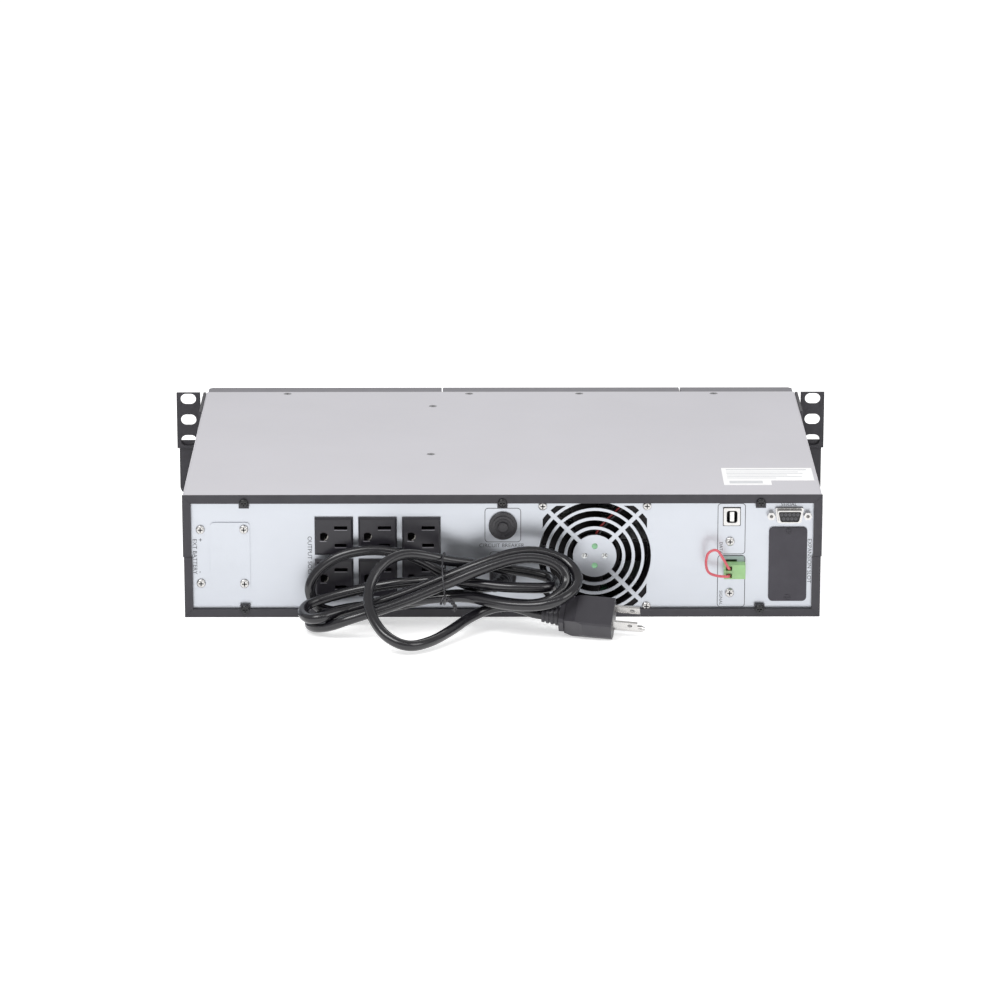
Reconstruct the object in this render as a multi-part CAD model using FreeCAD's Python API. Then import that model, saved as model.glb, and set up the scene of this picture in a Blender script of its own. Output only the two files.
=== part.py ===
"""A 2U rackmount uninterruptible power supply, as separate pieces, in millimetres.

+X is right and +Y is forward, seen from behind; +Z is up. The origin is under the middle of the
unit, on the surface that it stands on. The rear panel faces -Y and the bezel faces +Y.
"""

import FreeCAD, Part
import math
import os

V = FreeCAD.Vector
X_DIR, Y_DIR, Z_DIR = V(1, 0, 0), V(0, 1, 0), V(0, 0, 1)

# Driving dimensions of the case
COVER_HALF = 219.2  # half the width of the upper shell
BASE_HALF = 218.6  # half the width of the lower shell
HEIGHT = 87.0  # two rack units less their clearance
SEAM_Z = 43.0  # where the two shells meet
BODY_DEPTH = 290.0  # from the rear frame to the bezel
BEZEL_DEPTH = 20.0
REAR_REACH = 14.65  # how far the signal plug's wire stands out of the rear
BUTTON_PROUD = 1.2  # how far the front buttons stand out of the bezel
SHEET = 1.2  # thickness of the case's sheet steel
RECESS = 2.1  # from the rear frame's inner face to the panel: room for screw heads
GAP = 0.1  # between pieces of one body

REAR_Y = -(BODY_DEPTH + BEZEL_DEPTH + BUTTON_PROUD - REAR_REACH) / 2  # the rear frame's outer face
FRONT_Y = REAR_Y + BODY_DEPTH  # the case's front edge
BEZEL_Y = FRONT_Y + BEZEL_DEPTH
PANEL_Y = REAR_Y + SHEET + RECESS  # the rear panel's outer face
INNER_Y = PANEL_Y + SHEET  # the rear panel's inner face

# Rear frame
RIM = 6.0  # width of its top strip
RIM_LOW = 5.5  # width of its bottom strip
RIM_SIDE = 5.8
TAB_WIDTH, TAB_REACH = 7.0, 3.3
TAB_X = (-177.0, 0.0, 177.0)

# Rear panel features, as (x, z)
SOCKET_X = (-115.6, -85.6, -55.6)
SOCKET_Z = (58.3, 28.5)
SOCKET_W, SOCKET_H, SOCKET_PROUD, SOCKET_DEEP = 26.4, 26.5, 3.0, 22.0
SOCKET_DROP = 0.85  # how far the outlet's middle is below the middle of its holes
BREAKER = (0.4, 64.5)
GLAND = (0.4, 28.6)
FAN = (63.4, 42.7)
FAN_PITCH = 71.5  # screw spacing of an 80 mm fan
FAN_SIZE, FAN_THICK = 80.0, 25.0
GRILLE_RINGS = ((15.0, 18.9), (21.1, 25.5), (27.7, 32.2), (34.2, 38.7))
SPOKE = 2.9
USB = (157.35, 70.8)
SIGNAL = (159.3, 33.7)
SIGNAL_WAY_X = 155.5  # where its two wires go in, one above the other
SIGNAL_PITCH = 5.08
SERIAL = (196.7, 72.0)
JACK_SPACING = 24.99
SLOT_COVER = (183.0, 209.2, 10.7, 63.3)  # low x, high x, low z, high z
TERMINAL_COVER = (-200.5, -173.3, 18.5, 67.0)
TERMINAL_SCREWS = ((-177.3, 62.3), (-177.3, 23.6))
PANEL_SCREWS = ((-207.2, 61.9), (-207.2, 23.6), (156.3, 53.1), (156.4, 16.4))
SLOT_SCREWS = ((196.2, 60.6), (196.2, 13.6))
COVER_SCREWS = (  # (x, distance from the rear frame)
    (-158.3, 284.5), (-23.3, 284.5), (58.4, 284.5), (158.3, 284.5), (-50.0, 247.0), (-50.0, 109.5)
)

# Rack ears
EAR_HALF, PLATE_HALF = 241.3, 239.8
RACK_HOLES = 465.1
EAR_T = 2.0
EAR_SLOT_Z = (81.35, 65.475, 49.6)
EAR_SLOT_LONG, EAR_SLOT_WIDE = 11.4, 8.0

# Front
DOOR_SEAM_X, DISPLAY_SEAM_X = -43.5, 133.7
BEZEL_HALF = 217.5
BUTTON_R, BUTTON_GAP = 4.0, 0.25
BUTTONS = (("power_button", 150.0), ("menu_button", 176.0), ("enter_button", 202.0))
BUTTON_Z = 22.0
WINDOW = (146.0, 206.0, 40.0, 70.0)

# Batteries: sealed 12 V 9 Ah blocks
BATTERY = (151.0, 94.0, 65.0)
BATTERY_X = -122.0
TRAY_FLOOR_Z = 3.0
BAY = (-205.0, -43.5, 1.8, 79.5)  # the way out at the front: low x, high x, low z, high z

# Mains lead
CORD_D = 7.3


def box(x0, x1, y0, y1, z0, z1):
    return Part.makeBox(x1 - x0, y1 - y0, z1 - z0, V(x0, y0, z0))


def plate(x0, x1, z0, z1, y, thick, radius=0.0):
    """A flat plate facing the rear, from y forwards, with its four corners rounded."""
    body = box(x0, x1, y, y + thick, z0, z1)
    if radius:
        edges = [e for e in body.Edges if abs(e.tangentAt(e.FirstParameter).y) > 0.99]
        body = body.makeFillet(radius, edges)
    return body


def rod(x, y, z, r, long, direction=Y_DIR):
    return Part.makeCylinder(r, long, V(x, y, z), direction)


def cone(x, y, z, r0, r1, long, direction=Y_DIR):
    return Part.makeCone(r0, r1, long, V(x, y, z), direction)


def rounded_end(body, y, radius):
    """The body with the edges of its end face at y rounded."""
    return body.makeFillet(radius, [e for e in body.Edges if abs(e.CenterOfMass.y - y) < 1e-6])


def fuse(shapes):
    first, rest = shapes[0], shapes[1:]
    return first.multiFuse(rest).removeSplitter() if rest else first


def cut(body, tools):
    return body.cut(tools if isinstance(tools, list) else [tools])


def prism_x(points, x0, x1):
    """A solid with a (y, z) outline, from x0 to x1."""
    wire = Part.makePolygon([V(x0, y, z) for y, z in points + points[:1]])
    return Part.Face(wire).extrude(V(x1 - x0, 0, 0))


def prism_y(points, y0, y1):
    """A solid with an (x, z) outline, from y0 to y1."""
    wire = Part.makePolygon([V(x, y0, z) for x, z in points + points[:1]])
    return Part.Face(wire).extrude(V(0, y1 - y0, 0))


def prism_z(points, z0, z1):
    """A solid with an (x, y) outline, from z0 to z1."""
    wire = Part.makePolygon([V(x, y, z0) for x, y in points + points[:1]])
    return Part.Face(wire).extrude(V(0, 0, z1 - z0))


def slot_y(x, z, long, wide, y0, y1):
    """A slot tool with round ends, its length along X, cut through in Y."""
    half = (long - wide) / 2
    parts = [rod(x - half, y0, z, wide / 2, y1 - y0), rod(x + half, y0, z, wide / 2, y1 - y0)]
    return fuse(parts + [box(x - half, x + half, y0, y1, z - wide / 2, z + wide / 2)])


def pan_screw(x, y, z, head_r=3.1, head_h=2.0, shank_r=1.4, shank=5.0):
    """A domed cross-recess screw: the underside of its head is at y, its shank runs along +Y."""
    head = rounded_end(rod(x, y - head_h, z, head_r, head_h), y - head_h, head_h * 0.6)
    screw = head.fuse(rod(x, y - 0.01, z, shank_r, shank))
    arms = [
        box(x - 1.7, x + 1.7, y - head_h - 1, y - head_h * 0.35, z - 0.35, z + 0.35),
        box(x - 0.35, x + 0.35, y - head_h - 1, y - head_h * 0.35, z - 1.7, z + 1.7),
    ]
    return cut(screw, arms)


def holes(points, y, r=1.55, long=8.0):
    """Round tools that run from 3 mm behind y, for the screws at these places."""
    return [rod(x, y - 3, z, r, long) for x, z in points]


def corners(centre, pitch):
    h = pitch / 2
    return [(centre[0] + i * h, centre[1] + j * h) for i in (-1, 1) for j in (-1, 1)]


# ---------------------------------------------------------------- case


def side_vents(x, z):
    """A row of upright vent slots through a side wall."""
    return [box(x - 3, x + 3, y, y + 2.6, z, z + 24) for y in range(40, 120, 8)]


def base_chassis():
    y0, y1 = REAR_Y + SHEET + GAP, FRONT_Y
    outer = box(-BASE_HALF, BASE_HALF, y0, y1, 0, SEAM_Z - 0.1)
    inner = box(-BASE_HALF + SHEET, BASE_HALF - SHEET, y0 - 1, y1 + 1, SHEET, HEIGHT)
    lips = [box(x0, x1, y1 - SHEET, y1, SHEET - 0.01, 5)
            for x0, x1 in ((-BASE_HALF + 0.5, BAY[0]), (BAY[1], BASE_HALF - 0.5))]
    vents = side_vents(-BASE_HALF, 10) + side_vents(BASE_HALF, 10)
    ear_holes = [rod(-230, y, z, 1.6, 460, X_DIR) for y, z in EAR_SCREWS if z < SEAM_Z]
    return cut(fuse([cut(outer, inner)] + lips), vents + ear_holes)


def top_cover():
    y0, y1 = REAR_Y + SHEET + GAP, FRONT_Y
    outer = box(-COVER_HALF, COVER_HALF, y0, y1, SEAM_Z + 0.1, HEIGHT)
    bends = [e for e in outer.Edges if abs(e.CenterOfMass.z - HEIGHT) < 1e-6
             and abs(abs(e.CenterOfMass.x) - COVER_HALF) < 1e-6]
    outer = outer.makeFillet(2.0, bends)
    half = COVER_HALF - SHEET
    inner = box(-half, half, y0 - 1, y1 + 1, 0, HEIGHT - SHEET)
    z = HEIGHT - 1.15
    screw_holes = [rod(x, REAR_Y + d, z - 2, 1.6, 5, Z_DIR) for x, d in COVER_SCREWS]
    sinks = [cone(x, REAR_Y + d, z, 1.6, 3.1, 1.2, Z_DIR) for x, d in COVER_SCREWS]
    ear_holes = [rod(-230, y, z, 1.6, 460, X_DIR) for y, z in EAR_SCREWS if z > SEAM_Z]
    return cut(cut(outer, inner), screw_holes + sinks + ear_holes)


def cover_screws():
    """Countersunk screws, flush with the top of the cover."""
    made = []
    for x, d in COVER_SCREWS:
        y, z = REAR_Y + d, HEIGHT - 1.1
        screw = cone(x, y, z, 1.45, 2.95, 1.1, Z_DIR).fuse(rod(x, y, z - 5, 1.45, 5.01, Z_DIR))
        cross = [box(x - 1.6, x + 1.6, y - 0.3, y + 0.3, z + 0.5, z + 2),
                 box(x - 0.3, x + 0.3, y - 1.6, y + 1.6, z + 0.5, z + 2)]
        made.append(cut(screw, cross))
    return made


def rear_frame_upper():
    outer = plate(-COVER_HALF, COVER_HALF, SEAM_Z + 0.1, HEIGHT, REAR_Y, SHEET)
    inner = COVER_HALF - RIM_SIDE
    opening = box(-inner, inner, REAR_Y - 1, REAR_Y + 2, 0, HEIGHT - RIM)
    tabs = [box(x - TAB_WIDTH / 2, x + TAB_WIDTH / 2, REAR_Y, REAR_Y + SHEET,
                HEIGHT - RIM - TAB_REACH, HEIGHT - RIM + 0.5) for x in TAB_X]
    frame = fuse([cut(outer, opening)] + tabs)
    mitres = [mitre(side * inner, HEIGHT - RIM, side, RIM) for side in (-1, 1)]
    return cut(frame, mitres + holes(FRAME_SCREWS, REAR_Y))


def rear_frame_lower():
    outer = plate(-BASE_HALF, BASE_HALF, 0, SEAM_Z - 0.1, REAR_Y, SHEET)
    inner = BASE_HALF - RIM_SIDE
    opening = box(-inner, inner, REAR_Y - 1, REAR_Y + 2, RIM_LOW, HEIGHT)
    tabs = [box(x - TAB_WIDTH / 2, x + TAB_WIDTH / 2, REAR_Y, REAR_Y + SHEET,
                RIM_LOW - 0.5, RIM_LOW + TAB_REACH) for x in TAB_X]
    frame = fuse([cut(outer, opening)] + tabs)
    mitres = [mitre(side * inner, RIM_LOW, side, -RIM_LOW) for side in (-1, 1)]
    return cut(frame, mitres + holes(FRAME_SCREWS, REAR_Y))


def mitre(x, z, side, rise):
    """A shallow groove from the frame's inner corner to its outer one."""
    line = [(x + side * (RIM_SIDE * share + across), z + rise * share - math.copysign(across, rise))
            for share, across in ((-0.2, -0.1), (-0.2, 0.1), (1.2, 0.1), (1.2, -0.1))]
    return prism_y(line, REAR_Y - 1, REAR_Y + 0.4)


FRAME_SCREWS = [(x, HEIGHT - 5.4) for x in TAB_X] + [(x, RIM_LOW + 0.2) for x in TAB_X]


def rear_frame_screws():
    return [pan_screw(x, REAR_Y - 0.02, z) for x, z in FRAME_SCREWS]


def fan_grille(y0, y1):
    """Tools for the stamped ring slots in front of the fan, and for the label disc's holes."""
    x, z = FAN
    long = y1 - y0
    arms = [box(x - 60, x + 60, y0 - 1, y1 + 1, z - SPOKE / 2, z + SPOKE / 2)]
    arms += [box(x - SPOKE / 2, x + SPOKE / 2, y0 - 1, y1 + 1, z - 60, z + 60)]
    for arm in arms:
        arm.rotate(V(x, 0, z), Y_DIR, 45)
    rings = [rod(x, y0, z, b, long).cut(rod(x, y0, z, a, long)) for a, b in GRILLE_RINGS]
    square = box(x - 35.8, x + 35.8, y0, y1, z - 35.8, z + 35.8)
    crescents = rod(x, y0, z, 44.5, long).cut(rod(x, y0, z, 40.8, long)).common(square)
    tools = [ring.cut(arms) for ring in rings + [crescents]]
    eyes = [(x, z + 6.9), (x, z - 6.9), (x - 6.9, z), (x + 6.9, z)]
    return tools + [rod(a, y0, b, 2.1, long) for a, b in eyes]


def rear_panel():
    panel = plate(-215.5, 215.5, 2.0, 84.6, PANEL_Y, SHEET)
    y0, y1 = PANEL_Y - 1, INNER_Y + 1
    tools = fan_grille(y0, y1)
    for x in SOCKET_X:
        for z in SOCKET_Z:
            tools.append(box(x - 12.3, x + 12.3, y0, y1, z - 13.2, z + 11.5))
    tools.append(rod(BREAKER[0], y0, BREAKER[1], 6.1, 4))
    tools.append(rod(GLAND[0], y0, GLAND[1], 7.6, 4))
    tools.append(box(USB[0] - 6.1, USB[0] + 6.1, y0, y1, USB[1] - 6.7, USB[1] + 6.7))
    tools.append(box(SIGNAL[0] - 7.2, SIGNAL[0] + 7.0, y0, y1, SIGNAL[1] - 6.1, SIGNAL[1] + 9.1))
    tools.append(box(SERIAL[0] - 8.6, SERIAL[0] + 8.6, y0, y1, SERIAL[1] - 4.7, SERIAL[1] + 4.7))
    tools.append(box(SLOT_COVER[0] + 3, SLOT_COVER[1] - 3, y0, y1, 19, 57))
    tools.append(box(-196, -179, y0, y1, 30, 57))
    points = corners(FAN, FAN_PITCH) + list(TERMINAL_SCREWS) + list(PANEL_SCREWS)
    points += list(SLOT_SCREWS) + jack_points()
    return cut(panel, tools + holes(points, PANEL_Y) + holes(FRAME_SCREWS, PANEL_Y))


def front_bulkhead():
    y = FRONT_Y - SHEET - 0.2 - SHEET
    wall = box(-216.5, 216.5, y, y + SHEET, SHEET + 0.1, HEIGHT - SHEET - 0.2)
    bay = box(BAY[0], BAY[1], y - 1, y + 3, BAY[2], BAY[3])
    wiring = box(150, 200, y - 1, y + 3, 30, 60)
    vents = [box(x, x + 3, y - 1, y + 3, 20, 66) for x in range(-30, 125, 8)]
    return cut(wall, [bay, wiring] + vents)


def cover_label():
    return box(153, 216, REAR_Y + 25.4, REAR_Y + 70, HEIGHT + 0.02, HEIGHT + 0.2).cut(
        box(186, 217, REAR_Y + 25, REAR_Y + 37, HEIGHT - 1, HEIGHT + 1))


# ---------------------------------------------------------------- rear panel fittings


def terminal_cover():
    x0, x1, z0, z1 = TERMINAL_COVER
    lid = plate(x0, x1, z0, z1, PANEL_Y - 1.05, 1.0, 2.5)
    return cut(lid, holes(TERMINAL_SCREWS, PANEL_Y))


def terminal_socket():
    """Two-pole connector for a further battery pack, behind its cover."""
    body = box(-195.5, -179.5, INNER_Y - 1.1, INNER_Y + 24, 30.5, 56.5)
    ways = [box(-193.5, -181.5, INNER_Y - 2, INNER_Y + 12, z, z + 9.5) for z in (33, 44.5)]
    blades = [box(-188.5, -186.5, INNER_Y + 1, INNER_Y + 12.5, z, z + 6) for z in (34.8, 46.2)]
    return fuse([cut(body, ways)] + blades)


def panel_screws():
    lid = [pan_screw(x, PANEL_Y - 1.1, z) for x, z in TERMINAL_SCREWS]
    return lid + [pan_screw(x, PANEL_Y - 0.03, z) for x, z in PANEL_SCREWS]


def output_socket(x, z):
    """A 15 A two-blade outlet with its earth hole to the left, standing a little proud."""
    front = PANEL_Y - SOCKET_PROUD
    w, h, mid = SOCKET_W / 2, SOCKET_H / 2, z - SOCKET_DROP
    flange = box(x - w, x + w, front, PANEL_Y - 0.05, mid - h, mid + h)
    rim = [e for e in flange.Edges if abs(e.CenterOfMass.y - front) < 1e-6]
    flange = flange.makeChamfer(1.4, rim)
    body = flange.fuse(box(x - 12.1, x + 12.1, PANEL_Y - 0.2, front + SOCKET_DEEP, mid - 12.1, mid + 12.1))
    deep = SOCKET_DEEP - 4
    earth = rod(x - 7.0, front - 1, z - 0.9, 3.05, deep).cut(
        box(x - 12, x - 9.4, front - 2, front + deep + 1, z - 5, z + 5))
    live = box(x + 0.5, x + 8.6, front - 1, front + deep, z - 8.4, z - 5.9)
    neutral = box(x + 0.2, x + 9.3, front - 1, front + deep, z + 4.1, z + 6.6)
    return cut(body, [earth, live, neutral])


def breaker_body():
    """Thermal circuit breaker: a case behind the panel and a threaded bush through it."""
    x, z = BREAKER
    case = box(x - 8, x + 8, INNER_Y + 1.0, INNER_Y + 33, z - 18, z + 13.5)
    bush = rod(x, PANEL_Y - 4.0, z, 5.6, 8)
    tube = rod(x, PANEL_Y - 6, z, 3.6, 20)
    return cut(fuse([case, bush]), tube)


def breaker_nut():
    """Round dress nut with a stepped face, on the outside of the panel."""
    x, z = BREAKER
    low = rounded_end(rod(x, PANEL_Y - 2.4, z, 9.8, 2.35), PANEL_Y - 2.4, 0.8)
    high = rod(x, PANEL_Y - 3.6, z, 7.4, 1.3)
    return cut(fuse([low, high]), rod(x, PANEL_Y - 6, z, 5.7, 9))


def breaker_button():
    x, z = BREAKER
    return rounded_end(rod(x, PANEL_Y - 6.6, z, 3.5, 16), PANEL_Y - 6.6, 0.6)


def cord_gland():
    """Strain relief: a ribbed collar and a tapered sleeve that bends with the lead."""
    x, z = GLAND
    collar = rounded_end(rod(x, PANEL_Y - 3.2, z, 9.2, 3.15), PANEL_Y - 3.2, 0.8)
    neck = rod(x, PANEL_Y - 0.1, z, 7.5, SHEET + 6)
    sleeve = cone(x, PANEL_Y - 3.1, z, 7.2, 5.6, 4.9, V(0, -1, 0))
    ribs = [box(x + i * 2.6 - 0.45, x + i * 2.6 + 0.45, PANEL_Y - 4, PANEL_Y - 2.6, z - 12, z + 12)
            for i in (-3, -2, 2, 3)]
    return cut(fuse([collar, neck, sleeve]), ribs)


def usb_port():
    """Square device-side data port with its tongue."""
    x, z = USB
    shell = box(x - 5.95, x + 5.95, PANEL_Y - 0.6, PANEL_Y + 15, z - 6.45, z + 6.45)
    shell = shell.makeFillet(0.5, [e for e in shell.Edges if abs(e.tangentAt(e.FirstParameter).y) > 0.99])
    mouth = prism_y([(x - 4.2, z - 3.9), (x + 4.2, z - 3.9), (x + 4.2, z + 2.2),
                     (x + 2.4, z + 3.9), (x - 2.4, z + 3.9), (x - 4.2, z + 2.2)],
                    PANEL_Y - 2, PANEL_Y + 9)
    tongue = box(x - 2.8, x + 2.8, PANEL_Y + 1.2, PANEL_Y + 10, z - 1.6, z + 1.6)
    return fuse([cut(shell, mouth), tongue])


def signal_ways():
    return [SIGNAL[1] + side * SIGNAL_PITCH / 2 for side in (1, -1)]


def signal_header():
    """Two-pin shut-off header: an open-fronted shroud with a latch notch above the plug."""
    x, z = SIGNAL
    y0 = PANEL_Y - 0.8
    shroud = box(x - 7.0, x + 6.8, y0, INNER_Y + 10, z - 5.9, z + 8.9)
    mouth = box(x - 6.0, x + 5.8, y0 - 1, INNER_Y + 7, z - 4.9, z + 4.9)
    notch = box(x - 6.0, x + 1.9, y0 - 1, INNER_Y + 4, z + 4.8, z + 6.6)
    pins = [box(x - 0.5, x + 0.5, y0 + 2, INNER_Y + 8, way - 0.5, way + 0.5) for way in signal_ways()]
    return fuse([cut(shroud, [mouth, notch])] + pins)


def signal_plug():
    """Pull-off screw-terminal plug; its nose sits in the header's mouth."""
    x, z = SIGNAL
    y1 = PANEL_Y - 0.9
    grip = box(x - 7.3, x + 7.4, y1 - 8.6, y1, z - 5.1, z + 5.1)
    grip = grip.makeChamfer(0.4, [e for e in grip.Edges if abs(e.CenterOfMass.y - y1 + 8.6) < 1e-6])
    nose = box(x - 5.7, x + 5.5, y1 - 0.1, PANEL_Y + 6, z - 4.6, z + 4.6)
    tools = []
    for way in signal_ways():
        tools.append(box(x - 0.9, x + 0.9, PANEL_Y - 1.5, PANEL_Y + 7, way - 0.9, way + 0.9))
        tools.append(box(SIGNAL_WAY_X - 2.4, SIGNAL_WAY_X + 2.0, y1 - 9.6, y1 - 4.6, way - 1.6, way + 1.6))
        tools.append(rod(x + 3.5, y1 - 4.3, way, 1.8, 5, X_DIR))
    return cut(fuse([grip, nose]), tools)


def smooth_tube(points, r):
    """A round tube along straight runs joined by tangent arcs, and the radii of its arcs."""
    pts = [V(*p) for p in points]
    edges, radii, last = [], [], pts[0]
    for a, b, c in zip(pts, pts[1:], pts[2:]):
        u, w = (a - b), (c - b)
        run = min(u.Length, w.Length)
        u.normalize()
        w.normalize()
        turn = math.pi - u.getAngle(w)
        back = 0.45 * run
        radius = back / math.tan(turn / 2)
        radii.append(radius)
        middle = (u + w).normalize()
        centre_far = radius / math.cos(turn / 2)
        start, end = b + u * back, b + w * back
        mid = b + middle * (centre_far - radius)
        edges += [Part.LineSegment(last, start).toShape(), Part.Arc(start, mid, end).toShape()]
        last = end
    edges.append(Part.LineSegment(last, pts[-1]).toShape())
    wire = Part.Wire(edges)
    heading = (pts[1] - pts[0]).normalize()
    profile = Part.Wire(Part.makeCircle(r, pts[0], heading))
    tube = wire.makePipeShell([profile], True, True)
    return tube, radii, wire.Length


JUMPER_OUT = [  # (x, distance out from the rear frame, z) of the link from one way to the other
    (155.5, 3.2, 36.2), (155.4, 10.6, 36.6), (151.2, 13.0, 44.8), (146.6, 13.7, 52.4), (140.4, 13.8, 50.2),
    (138.8, 11.8, 42.0), (140.6, 11.4, 34.6), (147.2, 12.2, 32.6), (154.6, 12.2, 32.2), (155.5, 7.6, 31.2),
    (155.5, 3.2, 31.2)
]


def signal_jumper():
    """Red link wire that loops from one way of the plug to the other."""
    tube, _, _ = smooth_tube(along(JUMPER_OUT), 0.9)
    return tube


def serial_port():
    """Nine-way serial connector with its metal shell."""
    x, z = SERIAL
    half, rise, slope = 8.35, 4.3, 1.3
    dee = [(x - half, z + rise), (x + half, z + rise), (x + half - slope, z - rise),
           (x - half + slope, z - rise)]
    flange = box(x - 15.4, x + 15.4, INNER_Y + 0.1, INNER_Y + 1.1, z - 6.2, z + 6.2)
    shell = prism_y(dee, PANEL_Y - 5.2, INNER_Y + 10)
    pins = [rod(x - 5.5 + 2.75 * i, PANEL_Y - 6, z + 1.4, 0.6, 5) for i in range(5)]
    pins += [rod(x - 4.1 + 2.75 * i, PANEL_Y - 6, z - 1.4, 0.6, 5) for i in range(4)]
    screw_ways = [rod(px, INNER_Y - 1, pz, 1.6, 4) for px, pz in jack_points()]
    return cut(fuse([flange, shell]), pins + screw_ways)


def jack_points():
    return [(SERIAL[0] + s * JACK_SPACING / 2, SERIAL[1]) for s in (-1, 1)]


def serial_jackscrews():
    made = []
    for x, z in jack_points():
        ring = [(x + 2.9 * math.cos(math.radians(60 * i)), z + 2.9 * math.sin(math.radians(60 * i)))
                for i in range(6)]
        post = fuse([prism_y(ring, PANEL_Y - 5.0, PANEL_Y - 0.05), rod(x, PANEL_Y - 0.1, z, 1.45, 7)])
        made.append(cut(post, rod(x, PANEL_Y - 6, z, 1.2, 6)))
    return made


def slot_cover():
    x0, x1, z0, z1 = SLOT_COVER
    lid = plate(x0, x1, z0, z1, PANEL_Y - 1.55, 1.5, 3.0)
    return cut(lid, holes(SLOT_SCREWS, PANEL_Y))


def slot_screws():
    return [pan_screw(x, PANEL_Y - 1.57, z, head_r=1.9, head_h=0.5) for x, z in SLOT_SCREWS]


# ---------------------------------------------------------------- fan

FAN_Y = INNER_Y + 0.1


def fan_frame():
    x, z = FAN
    h = FAN_SIZE / 2
    block = box(x - h, x + h, FAN_Y, FAN_Y + FAN_THICK, z - h, z + h)
    edges = [e for e in block.Edges if abs(e.tangentAt(e.FirstParameter).y) > 0.99]
    block = block.makeFillet(4.0, edges)
    throat = rod(x, FAN_Y - 1, z, 38.3, FAN_THICK + 2)
    waist = [box(x - h - 1, x + h + 1, FAN_Y + 4, FAN_Y + FAN_THICK - 4, z - h - 1, z + h + 1).cut(
        rod(x, FAN_Y, z, 39.6, FAN_THICK))]
    shell = cut(block, [throat] + waist + holes(corners(FAN, FAN_PITCH), FAN_Y, 2.15, 30))
    hub = rod(x, FAN_Y, z, 15.0, 4)
    tube = rod(x, FAN_Y + 3, z, 3.6, 14)
    struts = []
    for angle in (47, 137, 227, 317):
        strut = box(x + 13, x + 39, FAN_Y, FAN_Y + 3.2, z - 1.6, z + 1.6)
        strut.rotate(V(x, 0, z), Y_DIR, angle)
        struts.append(strut)
    return cut(fuse([shell, hub, tube] + struts), rod(x, FAN_Y + 1, z, 1.55, 20))


def fan_rotor():
    """Cupped hub on its shaft with seven pitched blades."""
    x, z = FAN
    y0 = FAN_Y + 5.0
    cup = rod(x, y0, z, 17.5, 17.5).cut(rod(x, y0 - 1, z, 15.8, 16))
    shaft = rod(x, FAN_Y + 2, z, 1.5, 19.5)
    swept = rod(x, y0 + 0.6, z, 37.0, 15.6).cut(rod(x, y0 - 1, z, 17.0, 20))
    blades = []
    for i in range(7):
        blade = box(x + 14, x + 40, y0 + 7.6, y0 + 9.2, z - 12, z + 12)
        blade.rotate(V(x, y0 + 8.4, z), X_DIR, 40)
        blade = blade.common(swept)
        blade.rotate(V(x, 0, z), Y_DIR, i * 360 / 7)
        blades.append(blade)
    return fuse([cup, shaft] + blades)


def fan_screws():
    return [pan_screw(x, PANEL_Y - 0.03, z, head_r=3.0, shank=12)
            for x, z in corners(FAN, FAN_PITCH)]


# ---------------------------------------------------------------- rack ears

EAR_Y = FRONT_Y + 1.0
EAR_SCREWS = [(y, z) for z in (25.0, 65.0) for y in (FRONT_Y - 44.0, FRONT_Y - 18.0)]


def mirrored(shape, side):
    return shape if side > 0 else shape.mirror(V(0, 0, 0), X_DIR)


def rack_ear(side):
    """Upper ear: an angle with three slots, screwed to the side of the cover."""
    face = box(COVER_HALF + 0.1, EAR_HALF, EAR_Y, EAR_Y + EAR_T, 43.5, 86.2)
    flange = box(COVER_HALF + 0.1, COVER_HALF + 0.1 + EAR_T, FRONT_Y - 56, EAR_Y + EAR_T, 43.5, 86.2)
    notch = box(COVER_HALF + EAR_T + 0.1, COVER_HALF + EAR_T + 2.4, EAR_Y - 1, EAR_Y + 4, 74.8, 90)
    slots = [slot_y(RACK_HOLES / 2, z, EAR_SLOT_LONG, EAR_SLOT_WIDE, EAR_Y - 1, EAR_Y + 4)
             for z in EAR_SLOT_Z]
    ways = [rod(210, y, z, 1.7, 20, X_DIR) for y, z in EAR_SCREWS if z > SEAM_Z]
    return mirrored(cut(fuse([face, flange]), [notch] + slots + ways), side)


def ear_plate(side):
    """Lower ear: a plain angle in front of the upper one, with a rounded lower corner."""
    y = EAR_Y + EAR_T + 0.1
    face = box(COVER_HALF + 0.1, PLATE_HALF, y, y + EAR_T, 7.5, 49.0)
    edges = [e for e in face.Edges if abs(e.tangentAt(e.FirstParameter).y) > 0.99
             and e.CenterOfMass.x > 230 and e.CenterOfMass.z < 20]
    face = face.makeFillet(6.0, edges)
    flange = box(COVER_HALF + 0.1, COVER_HALF + 0.1 + EAR_T, FRONT_Y - 56, y + EAR_T, 7.5, 43.3)
    ways = [rod(210, y0, z, 1.7, 20, X_DIR) for y0, z in EAR_SCREWS if z < SEAM_Z]
    return mirrored(cut(fuse([face, flange]), ways), side)


def ear_screws():
    made = []
    for side in (-1, 1):
        for y, z in EAR_SCREWS:
            x = COVER_HALF + 0.1 + EAR_T + 0.03
            head = cone(x, y, z, 2.9, 2.1, 1.5, X_DIR)
            shank = rod(x - 6, y, z, 1.5, 6.01, X_DIR)
            cross = [box(x + 0.7, x + 3, y - 1.4, y + 1.4, z - 0.3, z + 0.3),
                     box(x + 0.7, x + 3, y - 0.3, y + 0.3, z - 1.4, z + 1.4)]
            made.append(mirrored(cut(fuse([head, shank]), cross), side))
    return made


# ---------------------------------------------------------------- front bezel


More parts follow.
